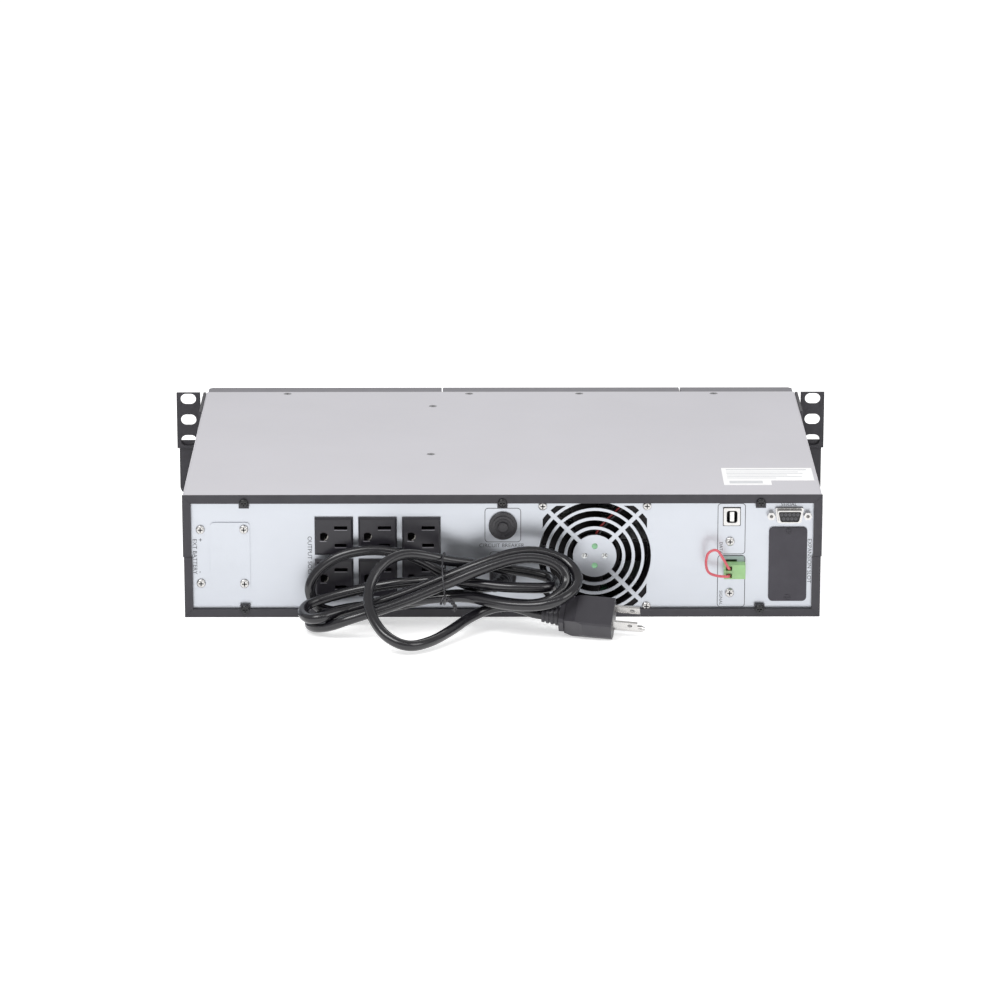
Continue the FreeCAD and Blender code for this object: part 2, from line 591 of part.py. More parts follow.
def bezel_shell(x0, x1, left_cut=0.0, right_cut=0.0):
    """One bezel module: a shallow box, open behind, with chamfered front edges and ends."""
    y0, y1, wall = FRONT_Y + 0.3, BEZEL_Y, 2.4
    outline = [(x0, y0), (x1, y0), (x1, y1 - right_cut), (x1 - right_cut, y1),
               (x0 + left_cut, y1), (x0, y1 - left_cut)]
    outline = [p for i, p in enumerate(outline) if i == 0 or p != outline[i - 1]]
    outer = prism_z(outline, 1.0, HEIGHT - 0.6)
    brow = prism_x([(y1 - 5, HEIGHT), (y1 + 1, HEIGHT), (y1 + 1, HEIGHT - 6)], x0 - 1, x1 + 1)
    chin = prism_x([(y1 - 5, 0.5), (y1 + 1, 0.5), (y1 + 1, 6.5)], x0 - 1, x1 + 1)
    hollow = box(x0 + wall + left_cut * 0.5, x1 - wall - right_cut * 0.5, y0 - 1, y1 - wall - 3.6,
                 1.0 + wall, HEIGHT - 0.6 - wall)
    return cut(outer, [brow, chin, hollow])


def centre_grille():
    shell = bezel_shell(DOOR_SEAM_X + 0.4, DISPLAY_SEAM_X - 0.4)
    louvres = [box(-32, 122, FRONT_Y + 5, BEZEL_Y + 1, z, z + 3.4) for z in range(14, 74, 7)]
    ribs = [box(x, x + 2.4, FRONT_Y + 8, BEZEL_Y - 1.5, 10, 78) for x in (6, 45, 84)]
    return fuse([cut(shell, louvres)] + ribs)


def display_bezel():
    shell = bezel_shell(DISPLAY_SEAM_X + 0.4, BEZEL_HALF, right_cut=7.0)
    x0, x1, z0, z1 = WINDOW
    seat = box(x0, x1, BEZEL_Y - 2.2, BEZEL_Y + 1, z0, z1)
    sight = box(x0 + 2, x1 - 2, FRONT_Y + 1, BEZEL_Y + 1, z0 + 2, z1 - 2)
    ways = [rod(x, FRONT_Y + 1, BUTTON_Z, BUTTON_R + BUTTON_GAP, 25) for _, x in BUTTONS]
    return cut(shell, [seat, sight] + ways)


def display_window():
    x0, x1, z0, z1 = WINDOW
    return box(x0 + 0.1, x1 - 0.1, BEZEL_Y - 2.1, BEZEL_Y - 0.3, z0 + 0.1, z1 - 0.1)


def front_button(x):
    face = BEZEL_Y + BUTTON_PROUD
    return rounded_end(rod(x, face - 10, BUTTON_Z, BUTTON_R, 10), face, 0.8)


def battery_door():
    shell = bezel_shell(-BEZEL_HALF, DOOR_SEAM_X - 0.4, left_cut=7.0)
    grip = box(-150, -110, BEZEL_Y - 4.5, BEZEL_Y + 1, 37, 51)
    grip = grip.makeFillet(4.0, [e for e in grip.Edges if abs(e.tangentAt(e.FirstParameter).y) > 0.99])
    slots = [box(x0, x1, FRONT_Y + 5, BEZEL_Y + 1, z, z + 3.4)
             for z in (14, 21, 28, 56, 63, 70) for x0, x1 in ((-200, -136), (-124, -60))]
    return cut(shell, [grip] + slots)


# ---------------------------------------------------------------- battery pack

PACK_Y = FRONT_Y - 6.0  # the pack's front end


def battery_tray():
    w = BATTERY[0] / 2 + 0.6
    long = 2 * BATTERY[1] + 4
    y0, z = PACK_Y - long, TRAY_FLOOR_Z
    floor = box(BATTERY_X - w - 1, BATTERY_X + w + 1, y0, PACK_Y, z - 1, z)
    walls = [box(BATTERY_X + s * (w + 0.5) - 0.5, BATTERY_X + s * (w + 0.5) + 0.5, y0, PACK_Y, z - 1, z + 28)
             for s in (-1, 1)]
    back = box(BATTERY_X - w, BATTERY_X + w, y0, y0 + 1, z - 1, z + 28)
    front = box(BATTERY_X - w, BATTERY_X + w, PACK_Y - 1, PACK_Y, z - 1, z + 20)
    hand = slot_y(BATTERY_X, z + 11, 34, 10, PACK_Y - 2, PACK_Y + 1)
    return cut(fuse([floor, back, front] + walls), hand)


def battery(index):
    """Sealed block with its lid rim and two flat terminals on its inner corner."""
    w, d, h = BATTERY
    y1 = PACK_Y - 1.3 - index * (d + 0.4)
    z0 = TRAY_FLOOR_Z + 0.05
    case = box(BATTERY_X - w / 2, BATTERY_X + w / 2, y1 - d, y1, z0, z0 + h)
    core = box(BATTERY_X - w / 2 + 0.8, BATTERY_X + w / 2 - 0.8, y1 - d + 0.8, y1 - 0.8, z0 - 1, z0 + h + 1)
    groove = case.cut(core).common(box(-300, 300, -300, 300, z0 + h - 9, z0 + h - 8))
    tabs = [box(BATTERY_X + s * 58 - 3.2, BATTERY_X + s * 58 + 3.2, y1 - 12.4, y1 - 11.6,
                z0 + h - 1, z0 + h + 6) for s in (-1, 1)]
    return fuse([cut(case, groove)] + tabs)


def battery_leads():
    """Two leads over the blocks to the pack's connector, with the link between the blocks."""
    z = TRAY_FLOOR_Z + BATTERY[2] + 4.4
    y_tab = PACK_Y - 13.3
    far = y_tab - BATTERY[1] - 0.4
    x0, x1 = BATTERY_X - 58, BATTERY_X + 58
    link_route = [(x1 - 4.5, far, z), (x1 - 12, far + 2, z - 0.3), (x1 - 30, far + 24, z - 0.5),
                  (x0 + 30, y_tab - 18, z - 0.3), (x0 + 12, y_tab - 2, z - 0.1), (x0 + 4.5, y_tab, z)]
    positive_route = [(x1 - 4.5, y_tab, z), (x1 - 14, y_tab + 1, z - 0.2), (x1 - 32, y_tab + 4, z - 0.5)]
    link, _, _ = smooth_tube(link_route, 1.6)
    positive, _, _ = smooth_tube(positive_route, 1.6)
    plug = box(x1 - 56, x1 - 32.05, y_tab - 4, y_tab + 11, z - 4.2, z + 4.6)
    return [link, fuse([plug, positive])]


# ---------------------------------------------------------------- electronics

BOARD_Z = 9.0


def main_board():
    """Power board on six posts, with its power stages standing on it."""
    board = box(-28, 205, REAR_Y + 34, FRONT_Y - 12, BOARD_Z, BOARD_Z + 1.6)
    posts = [rod(x, y, SHEET + 0.1, 3.2, BOARD_Z - SHEET - 0.05, Z_DIR)
             for x in (-18, 88, 195) for y in (REAR_Y + 44, FRONT_Y - 22)]
    return fuse([board] + posts)


def heat_sinks():
    made = []
    for y in (REAR_Y + 60, REAR_Y + 130):
        back = box(10, 120, y, y + 4, BOARD_Z + 1.7, 78)
        fins = [box(10, 120, y + 4, y + 20, z, z + 1.6) for z in range(20, 78, 7)]
        made.append(fuse([back] + fins))
    return made


def power_magnetics():
    """Two ring inductors and a block transformer."""
    z = BOARD_Z + 1.8
    rings = [Part.makeTorus(17, 8, V(150, REAR_Y + 70 + i * 62, z + 8.1), Z_DIR) for i in (0, 1)]
    core = box(120, 172, REAR_Y + 180, REAR_Y + 222, z, z + 46)
    coil = box(127, 165, REAR_Y + 172, REAR_Y + 230, z + 8, z + 38)
    return rings + [fuse([core, coil])]


def bulk_capacitors():
    made = []
    for i in range(3):
        can = rod(-8, REAR_Y + 66 + i * 34, BOARD_Z + 1.8, 15, 50, Z_DIR)
        rim = [e for e in can.Edges if abs(e.CenterOfMass.z - BOARD_Z - 51.8) < 1e-6]
        made.append(can.makeFillet(2.0, rim))
    return made


def control_board():
    """Upright logic board with its display and port connectors."""
    board = box(183, 184.6, REAR_Y + 70, FRONT_Y - 20, BOARD_Z + 1.8, 76)
    blocks = [box(184.6, 190, y, y + 16, z, z + 8) for y in (0, 40, 80) for z in (30, 56)]
    return fuse([board] + blocks)


# ---------------------------------------------------------------- mains lead

ROUTE_OUT = [  # (x, distance out from the rear frame, z): out of the gland and into the tie
    (0.4, 3.0, 28.6), (0.3, 10.0, 28.5), (-2.6, 17.2, 28.3), (-8.8, 22.2, 27.9), (-17.6, 23.2, 28.5),
    (-26.6, 20.0, 30.0), (-35.0, 16.0, 32.4)
]
ROUTE_LOOP = [  # out of the tie, round the loop that lies forward on the surface, to the plug
    (-44.0, 25.5, 49.5), (-55.0, 28.5, 53.0), (-68.0, 32.5, 54.6), (-80.5, 39.0, 50.6), (-89.5, 49.5, 40.0),
    (-91.5, 61.5, 28.6), (-87.0, 74.0, 18.8), (-78.0, 84.5, 11.0), (-63.5, 89.5, 5.6), (-48.0, 78.5, 5.4),
    (-34.5, 59.0, 7.8), (-22.5, 41.5, 11.8), (-8.5, 30.5, 15.4), (4.0, 28.5, 16.8), (13.5, 34.5, 16.2),
    (22.0, 40.5, 14.4), (31.9, 42.0, 14.01)
]


def along(route):
    return [(x, REAR_Y - out, z) for x, out, z in route]


def lead(name, route):
    tube, radii, length = smooth_tube(along(route), CORD_D / 2)
    ideal = math.pi * CORD_D**2 / 4 * length
    print(name, "length %.0f, arc radii" % length, " ".join("%.0f" % r for r in radii),
          "volume ratio %.3f" % (tube.Volume / ideal))
    return tube


def cord_hank():
    """Outer shape of the tied turns: two leaning lobes with the tie's waist between them."""
    def y(out):
        return REAR_Y - out
    lean_left = [(y(5.2), 54), (y(5.2), 9), (y(12), 3.2), (y(56), 3.2), (y(58), 12), (y(19), 54)]
    face_left = [(-36, 17), (-36, 52), (-60, 52), (-74, 54), (-108, 54), (-130, 43), (-138, 28),
                 (-142, 12), (-136, 3.2), (-106, 3.2), (-70, 8)]
    left = prism_x(lean_left, -142, -36).common(prism_y(face_left, y(60), y(4)))
    lean_right = [(y(19), 57), (y(11), 47), (y(11), 36.5), (y(27), 34), (y(34), 29), (y(48), 19.5),
                  (y(60), 19.5), (y(61), 27), (y(39), 56)]
    face_right = [(-44, 17), (-44, 51), (-12, 55), (8, 57), (30, 57), (46, 52), (54, 41),
                  (54, 34), (47, 28.6), (39, 26), (30, 19.5), (0, 19.5), (-24, 19)]
    right = prism_x(lean_right, -44, 54).common(prism_y(face_right, y(62), y(4)))
    return fuse([left, right])


def cord_tie():
    """Thin tie round the waist of the hank, its twisted ends hanging at the front."""
    x, r = -40.0, 0.7
    round_waist = [(6, 30), (6, 52), (20, 56), (36, 53), (44, 38), (42, 20), (24, 13.6), (8, 15), (5, 23)]
    ring, _, _ = smooth_tube(along([(x, out, z) for out, z in round_waist]), r)
    twist = [(x + 0.8, 43.5, 22), (x + 3, 46, 20), (x + 7, 46.5, 19), (x + 10, 47, 15.6)]
    ends, _, _ = smooth_tube(along(twist), 1.3)
    return [ring, ends]


# The plug, drawn with its face at the origin, its blades along +X and its flat side up
PLUG_FACE_AT = (75.0, 52.0, 16.26)  # (x, distance out from the rear frame, z) of the face's middle
PLUG_ROLL, PLUG_PITCH, PLUG_YAW = 36.4, 2.5, -9.0  # it lies rolled on its round side, a little askew
PLUG_LONG = 33.3
AXIS_DROP = -5.2  # the lead's line, below the line of the two blades


def laid(shape):
    """The shape turned and moved to where the plug lies."""
    made = shape.copy()
    made.rotate(V(0, 0, 0), X_DIR, PLUG_ROLL)
    made.rotate(V(0, 0, 0), Y_DIR, PLUG_PITCH)
    made.rotate(V(0, 0, 0), Z_DIR, PLUG_YAW)
    x, out, z = PLUG_FACE_AT
    made.translate(V(x, REAR_Y - out, z))
    return made


def plug_body():
    """Moulded three-pin plug, rounded on its earth side, with a collar and a ribbed strain relief."""
    back = -PLUG_LONG
    side = prism_y([(back, -11.6), (-15.0, -14.9), (0, -15.4), (0, 5.0), (-25.0, 5.0), (back, 2.0)], -13, 13)
    top = prism_z([(back, -9.0), (-20.0, -12.5), (0, -12.5), (0, 12.5), (-20.0, 12.5), (back, 9.0)], -16, 6)
    end = prism_x([(-11.3, 5.1), (-12.6, 3.8), (-12.6, -8.0), (-10.6, -12.4), (-6.0, -15.5), (6.0, -15.5),
                   (10.6, -12.4), (12.6, -8.0), (12.6, 3.8), (11.3, 5.1)], back - 1, 1)
    block = side.common(top).common(end)
    collar = prism_x([(-10.0, 0.8), (-8.0, 2.6), (8.0, 2.6), (10.0, 0.8), (10.0, -9.0), (6.0, -13.0),
                      (-6.0, -13.0), (-10.0, -9.0)], back - 3.3, back + 0.05)
    relief = cone(back - 15.7, 0, AXIS_DROP, 4.3, 6.2, 12.5, X_DIR)
    rings = [rod(back - 15.7 + i * 3.2, 0, AXIS_DROP, 5.2 + i * 0.5, 1.7, X_DIR) for i in (0, 1, 2, 3)]
    return laid(fuse([block, collar, relief] + rings))


def plug_blades():
    """Two flat blades side by side and a round earth pin with a domed end."""
    made = []
    for y in (-6.35, 6.35):
        blade = box(0.05, 17.3, y - 0.75, y + 0.75, -3.15, 3.15)
        made.append(laid(cut(blade, rod(12.0, y - 3, 0, 1.6, 6))))
    pin = rod(0.05, 0, -11.9, 2.35, 19.0, X_DIR)
    tip = cone(19.04, 0, -11.9, 2.35, 1.2, 2.2, X_DIR)
    return made + [laid(fuse([pin, tip]))]


# ---------------------------------------------------------------- the assembly


def assembly():
    parts = {
        "base_chassis": base_chassis(),
        "top_cover": top_cover(),
        "cover_screws": cover_screws(),
        "cover_label": cover_label(),
        "rear_frame_upper": rear_frame_upper(),
        "rear_frame_lower": rear_frame_lower(),
        "rear_frame_screws": rear_frame_screws(),
        "rear_panel": rear_panel(),
        "front_bulkhead": front_bulkhead(),
        "terminal_cover": terminal_cover(),
        "terminal_socket": terminal_socket(),
        "panel_screws": panel_screws(),
        "breaker_body": breaker_body(),
        "breaker_nut": breaker_nut(),
        "breaker_button": breaker_button(),
        "cord_gland": cord_gland(),
        "usb_port": usb_port(),
        "signal_header": signal_header(),
        "signal_plug": signal_plug(),
        "signal_jumper": signal_jumper(),
        "serial_port": serial_port(),
        "serial_jackscrews": serial_jackscrews(),
        "slot_cover": slot_cover(),
        "slot_screws": slot_screws(),
        "fan_frame": fan_frame(),
        "fan_rotor": fan_rotor(),
        "fan_screws": fan_screws(),
        "ear_screws": ear_screws(),
        "centre_grille": centre_grille(),
        "display_bezel": display_bezel(),
        "display_window": display_window(),
        "battery_door": battery_door(),
        "battery_tray": battery_tray(),
        "battery_leads": battery_leads(),
        "main_board": main_board(),
        "heat_sinks": heat_sinks(),
        "power_magnetics": power_magnetics(),
        "bulk_capacitors": bulk_capacitors(),
        "control_board": control_board(),
        "cord_inlet_run": lead("cord_inlet_run", ROUTE_OUT),
        "cord_hank": cord_hank(),
        "cord_plug_run": lead("cord_plug_run", ROUTE_LOOP),
        "cord_tie": cord_tie(),
        "plug_body": plug_body(),
        "plug_blades": plug_blades(),
    }
    for row, z in enumerate(SOCKET_Z):
        for column, x in enumerate(SOCKET_X):
            parts["output_socket_%d" % (row * 3 + column + 1)] = output_socket(x, z)
    for name, side in (("left", -1), ("right", 1)):
        parts["rack_ear_" + name] = rack_ear(side)
        parts["ear_plate_" + name] = ear_plate(side)
    for name, x in BUTTONS:
        parts[name] = front_button(x)
    for index in (0, 1):
        parts["battery_%d" % (index + 1)] = battery(index)
    return parts


def main():
    os.makedirs("parts", exist_ok=True)
    for name, shape in assembly().items():
        if isinstance(shape, list):
            shape = Part.makeCompound(shape)
        shape.exportStep("parts/%s.step" % name)
        if not shape.isValid():
            print("not valid:", name)


main()
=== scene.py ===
import math

import bmesh
import bpy
from mathutils import Matrix, Vector


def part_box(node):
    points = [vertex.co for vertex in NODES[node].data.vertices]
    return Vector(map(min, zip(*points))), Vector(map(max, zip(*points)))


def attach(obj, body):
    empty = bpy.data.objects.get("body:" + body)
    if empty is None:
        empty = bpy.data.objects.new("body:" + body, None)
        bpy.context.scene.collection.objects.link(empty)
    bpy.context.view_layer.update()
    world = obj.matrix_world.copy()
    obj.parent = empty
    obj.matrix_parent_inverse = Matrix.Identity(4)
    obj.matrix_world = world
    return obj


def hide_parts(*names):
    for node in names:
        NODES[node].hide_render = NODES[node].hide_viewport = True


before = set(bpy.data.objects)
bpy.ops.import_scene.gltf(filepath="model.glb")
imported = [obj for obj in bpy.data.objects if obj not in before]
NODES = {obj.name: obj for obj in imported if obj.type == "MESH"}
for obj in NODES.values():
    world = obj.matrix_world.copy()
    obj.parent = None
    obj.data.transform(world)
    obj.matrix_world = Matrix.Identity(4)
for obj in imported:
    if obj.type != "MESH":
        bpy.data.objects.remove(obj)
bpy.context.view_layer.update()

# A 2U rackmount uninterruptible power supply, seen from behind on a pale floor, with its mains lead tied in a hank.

MM = 0.001
REAR_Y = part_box("rear_frame_upper")[0].y  # the rear frame's outer face
PANEL_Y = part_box("rear_panel")[0].y  # the rear panel's outer face
BEZEL_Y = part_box("display_bezel")[1].y  # the front bezel's outer face
TOP_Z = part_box("top_cover")[1].z

# Places of fittings on the rear panel and the bezel, as (x, z) in millimetres
DATA_PORT = (157.35, 70.6)
SERIAL_PORT = (196.7, 72.0)
FAN_SCREW_OUT = 35.75  # how far the fan's screws are from its middle, each way
LID_SCREWS = ((-177.3, 62.3), (-177.3, 23.6))
LID_THICK = 1.07
PANEL_SCREWS = ((-207.2, 61.9), (-207.2, 23.6), (156.3, 53.1), (156.4, 16.4))
OUTLET_DROP = 0.85  # how far each outlet's outline hangs below the middle of its holes
BUTTONS = (("power_button", 150.0), ("menu_button", 176.0), ("enter_button", 202.0))
BUTTON_Z = 22.0


# ---------------------------------------------------------------- materials


def principled(name, color, rough, metal=0.0, **inputs):
    mat = bpy.data.materials.new(name)
    mat.use_nodes = True
    shader = mat.node_tree.nodes["Principled BSDF"]
    shader.inputs["Base Color"].default_value = (*color, 1.0)
    shader.inputs["Roughness"].default_value = rough
    shader.inputs["Metallic"].default_value = metal
    for key, value in inputs.items():
        shader.inputs[key.replace("_", " ")].default_value = value
    return mat, shader


def node(mat, kind, **values):
    made = mat.node_tree.nodes.new(kind)
    for key, value in values.items():
        if key in made.inputs:
            made.inputs[key].default_value = value
        else:
            setattr(made, key, value)
    return made


def link(mat, source, target):
    mat.node_tree.links.new(source, target)


def noise(mat, scale, stretch=(1, 1, 1), detail=2.0):
    """A noise's value over the object's own coordinates, in features per metre."""
    coord = node(mat, "ShaderNodeTexCoord")
    mapping = node(mat, "ShaderNodeMapping")
    mapping.inputs["Scale"].default_value = stretch
    texture = node(mat, "ShaderNodeTexNoise", Scale=scale, Detail=detail)
    link(mat, coord.outputs["Object"], mapping.inputs["Vector"])
    link(mat, mapping.outputs["Vector"], texture.inputs["Vector"])
    return texture.outputs["Fac"]


def spread(mat, value, low, high, start=0.3, end=0.7):
    """The value, from start to end, spread over low to high."""
    ranged = node(mat, "ShaderNodeMapRange")
    for key, number in zip(("From Min", "From Max", "To Min", "To Max"), (start, end, low, high)):
        ranged.inputs[key].default_value = number
    link(mat, value, ranged.inputs["Value"])
    return ranged.outputs["Result"]


def tint(mat, shader, value, dark, light):
    """Base colour between two colours, by a value from 0 to 1."""
    mix = node(mat, "ShaderNodeMix", data_type="RGBA")
    mix.inputs["A"].default_value = (*dark, 1.0)
    mix.inputs["B"].default_value = (*light, 1.0)
    link(mat, value, mix.inputs["Factor"])
    link(mat, mix.outputs["Result"], shader.inputs["Base Color"])


def bump(mat, shader, value, height, strength=1.0):
    bumped = node(mat, "ShaderNodeBump", Strength=strength, Distance=height)
    link(mat, value, bumped.inputs["Height"])
    link(mat, bumped.outputs["Normal"], shader.inputs["Normal"])


def shade(color, factor):
    return tuple(min(1.0, c * factor) for c in color)


def finish(name, color, rough, metal=0.0, mottle=0.06, patch=60, grain=0.0, grain_size=900, worn=0.06, **inputs):
    """A surface with patchy colour and gloss, and a fine grain of the given height in millimetres."""
    mat, shader = principled(name, color, rough, metal, **inputs)
    patches = noise(mat, patch, detail=4.0)
    tint(mat, shader, spread(mat, patches, 0.0, 1.0), shade(color, 1 - mottle), shade(color, 1 + mottle))
    link(mat, spread(mat, noise(mat, patch * 3), rough - worn, rough + worn), shader.inputs["Roughness"])
    if grain:
        bump(mat, shader, noise(mat, grain_size, detail=3.0), grain * MM)
    return mat


def zinc_sheet():
    """Bright zinc-plated sheet with a faint rolling direction and soft clouds in its gloss."""
    base = (0.545, 0.567, 0.610)
    mat, shader = principled("zinc_sheet", base, 0.30, 0.92)
    clouds = noise(mat, 14, detail=3.0)
    tint(mat, shader, spread(mat, clouds, 0.0, 1.0), shade(base, 0.97), shade(base, 1.03))
    rolled = noise(mat, 120, stretch=(0.4, 1, 9), detail=4.0)
    link(mat, spread(mat, rolled, 0.29, 0.33), shader.inputs["Roughness"])
    bump(mat, shader, noise(mat, 1400, detail=2.0), 0.004 * MM)
    return mat


def make_materials():
    return {
        # The cover's light grey is painted reflection: it stands for the glare that black paint shows on the top at a
        # low angle.
        "cover": finish("cover_paint", (0.55, 0.54, 0.575), 0.45, grain=0.012, grain_size=1500, mottle=0.02, patch=9),
        "chassis": finish("chassis_paint", (0.47, 0.465, 0.49), 0.48, grain=0.012, grain_size=1500, mottle=0.03),
        "zinc": zinc_sheet(),
        "black_steel": finish("black_powder", (0.031, 0.029, 0.036), 0.46, grain=0.03, grain_size=1700, mottle=0.06),
        "slot_paint": finish("slot_cover_paint", (0.034, 0.031, 0.041), 0.50, grain=0.02, grain_size=1700,
                             mottle=0.08),
        "zinc_screw": finish("zinc_screw", (0.58, 0.57, 0.56), 0.26, 0.95, grain=0.01, mottle=0.08, patch=300),
        "black_screw": finish("black_screw", (0.010, 0.010, 0.012), 0.15, worn=0.03, mottle=0.1, patch=300),
        "bezel": finish("bezel_plastic", (0.22, 0.215, 0.232), 0.60, grain=0.03, grain_size=1300, mottle=0.02,
                        Specular_IOR_Level=0.2),
        "window": principled("window_acrylic", (0.42, 0.44, 0.43), 0.04, Transmission_Weight=1.0, IOR=1.49)[0],
        "button": finish("button_plastic", (0.10, 0.10, 0.11), 0.40, grain=0.02, grain_size=1600),
        "label": finish("label_paper", (0.95, 0.95, 0.95), 0.45, mottle=0.01),
        "outlet": finish("outlet_plastic", (0.018, 0.0165, 0.022), 0.32, grain=0.015, grain_size=1100, mottle=0.03,
                         worn=0.02),
        "black_plastic": finish("black_plastic", (0.025, 0.024, 0.028), 0.36, grain=0.015, grain_size=1200,
                                mottle=0.12),
        "breaker": finish("breaker_nut_plastic", (0.030, 0.029, 0.033), 0.28, grain=0.01, mottle=0.12),
        "nickel": finish("nickel_plate", (0.62, 0.61, 0.60), 0.22, 0.95, grain=0.006, mottle=0.06, patch=200),
        "header": finish("header_plastic", (0.30, 0.37, 0.36), 0.32, grain=0.01, mottle=0.06),
        "green": finish("green_plastic", (0.28, 0.48, 0.22), 0.34, grain=0.012, mottle=0.05, patch=200,
                        Subsurface_Weight=0.05),
        "red_wire": finish("red_insulation", (0.56, 0.10, 0.125), 0.30, mottle=0.08, patch=150),
        "fan": finish("fan_plastic", (0.011, 0.0095, 0.0105), 0.5, grain=0.012, mottle=0.05,
                      Specular_IOR_Level=0.2),
        "cord": finish("cord_jacket", (0.008, 0.0075, 0.010), 0.20, grain=0.003, grain_size=500, mottle=0.2,
                       patch=60, worn=0.03, Coat_Weight=0.35, Coat_Roughness=0.07),
        "plug": finish("plug_moulding", (0.036, 0.034, 0.041), 0.38, grain=0.03, grain_size=900, mottle=0.06),
        "battery": finish("battery_case", (0.06, 0.06, 0.066), 0.45, grain=0.02, mottle=0.08),
        "pcb": finish("solder_mask", (0.03, 0.16, 0.07), 0.30, mottle=0.15, patch=200),
        "heat_sink": finish("raw_aluminium", (0.52, 0.52, 0.54), 0.40, 0.9, mottle=0.05),
        "copper": finish("lacquered_copper", (0.42, 0.20, 0.08), 0.30, 0.6, mottle=0.15, patch=250),
        "capacitor": finish("capacitor_sleeve", (0.03, 0.035, 0.07), 0.28, mottle=0.1),
        "ink": finish("grey_ink", (0.055, 0.055, 0.06), 0.60, mottle=0.1, patch=300),
        "pale_ink": finish("pale_ink", (0.62, 0.63, 0.65), 0.60, mottle=0.05, patch=300),
        "white_plastic": finish("white_plastic", (0.80, 0.80, 0.78), 0.35, grain=0.008, mottle=0.03),
        # Black insulator of the ports, and also the dark sheets that stand for shade in the data port's mouth, round
        # its shell and in the screws' cross recesses.
        "dark": finish("insulator_and_painted_shade", (0.012, 0.012, 0.013), 0.45, grain=0.008, mottle=0.1, patch=300),
        # Brass of the earth contacts, which are drawn only where the holes' edges catch light: partly painted
        # highlight.
        "contact": finish("brass_contact_and_highlight", (0.50, 0.48, 0.44), 0.28, 0.9, mottle=0.06, patch=400),
        # A lighter copy of the outlet plastic, as painted highlight on the holes' lower edges.
        "edge_highlight": finish("outlet_edge_highlight", (0.22, 0.215, 0.235), 0.30, mottle=0.08, patch=400),
        "fan_label": finish("fan_label", (0.95, 0.96, 0.94), 0.40, mottle=0.03, patch=200),
        "label_green": finish("label_green", (0.34, 0.66, 0.38), 0.40, mottle=0.05, patch=200),
        "black_wire": finish("black_insulation", (0.02, 0.02, 0.022), 0.32, mottle=0.1, patch=200),
        # A darker copy of the red insulation, as painted shade on the fan's wire behind the grille.
        "painted_shade_red": finish("shaded_red_insulation", (0.22, 0.012, 0.012), 0.35, mottle=0.2, patch=300),
        "dot": finish("contact_holes", (0.10, 0.10, 0.11), 0.35, 0.3, mottle=0.1, patch=400),
        "tie": finish("tie_plastic", (0.030, 0.029, 0.034), 0.26, mottle=0.12, patch=300),
        "display": finish("display_glass", (0.16, 0.19, 0.15), 0.15, mottle=0.03, patch=40),
        "cover_screw": finish("cover_screw_zinc", (0.30, 0.30, 0.31), 0.30, 0.8, grain=0.008, mottle=0.08, patch=300),
    }


MATERIALS = {}

NODE_MATERIAL = {
    "base_chassis": "chassis", "top_cover": "cover", "cover_screws": "cover_screw", "cover_label": "label",
    "rear_frame_upper": "black_steel", "rear_frame_lower": "black_steel", "rear_frame_screws": "black_screw",
    "rear_panel": "zinc", "front_bulkhead": "chassis", "terminal_cover": "zinc", "terminal_socket": "black_plastic",
    "panel_screws": "zinc_screw", "breaker_body": "black_plastic", "breaker_nut": "breaker",
    "breaker_button": "breaker", "cord_gland": "black_plastic", "usb_port": "nickel", "signal_header": "header",
    "signal_plug": "green", "signal_jumper": "red_wire", "serial_port": "nickel", "serial_jackscrews": "nickel",
    "slot_cover": "slot_paint", "slot_screws": "slot_paint", "fan_frame": "fan", "fan_rotor": "fan",
    "fan_screws": "zinc_screw", "ear_screws": "black_screw", "centre_grille": "bezel", "display_bezel": "bezel",
    "display_window": "window", "battery_door": "bezel", "battery_tray": "heat_sink", "battery_leads": "red_wire",
    "main_board": "pcb", "heat_sinks": "heat_sink", "power_magnetics": "copper", "bulk_capacitors": "capacitor",
    "control_board": "pcb", "plug_body": "plug", "plug_blades": "nickel",
    "rack_ear_left": "black_steel", "rack_ear_right": "black_steel", "ear_plate_left": "black_steel",
    "ear_plate_right": "black_steel", "power_button": "button", "menu_button": "button", "enter_button": "button",
    "battery_1": "battery", "battery_2": "battery",
}
NODE_MATERIAL.update({"output_socket_%d" % i: "outlet" for i in range(1, 7)})


def paint(obj, material):
    obj.data.materials.clear()
    obj.data.materials.append(MATERIALS[material])


def paint_nodes():
    for name, material in NODE_MATERIAL.items():
        paint(NODES[name], material)


# ---------------------------------------------------------------- making pieces


def add(name, data, material, body="case"):
    """A piece of the object with this mesh or curve, on this body."""
    obj = bpy.data.objects.new(name, data)
    bpy.context.scene.collection.objects.link(obj)
    paint(obj, material)
    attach(obj, body)
    return obj


def curve(points, radius, cyclic=False):
    """A round tube along one smooth line through space."""
    data = bpy.data.curves.new("line", "CURVE")
    data.dimensions = "3D"
    spline = data.splines.new("NURBS")
    spline.points.add(len(points) - 1)
    for point, place in zip(spline.points, points):
        point.co = (*place, 1.0)
    spline.order_u = 3
    spline.use_endpoint_u = not cyclic
    spline.use_cyclic_u = cyclic
    spline.resolution_u = 12
    data.bevel_depth = radius
    data.bevel_resolution = 6
    data.use_fill_caps = True
    return data


def line_points(data):
    """Points along a curve's own line."""
    bare = data.copy()
    bare.bevel_depth = 0.0
    holder = bpy.data.objects.new("line", bare)
    mesh = bpy.data.meshes.new_from_object(holder)
    points = [v.co.copy() for v in mesh.vertices]
    bpy.data.objects.remove(holder)
    return points


def at_panel(x, z, out=0.0):
    """A place on the rear panel's face, in millimetres from the frame's axes."""
    return Vector((x * MM, PANEL_Y - out * MM, z * MM))


# ---------------------------------------------------------------- mains lead

CORD_D = 0.0073

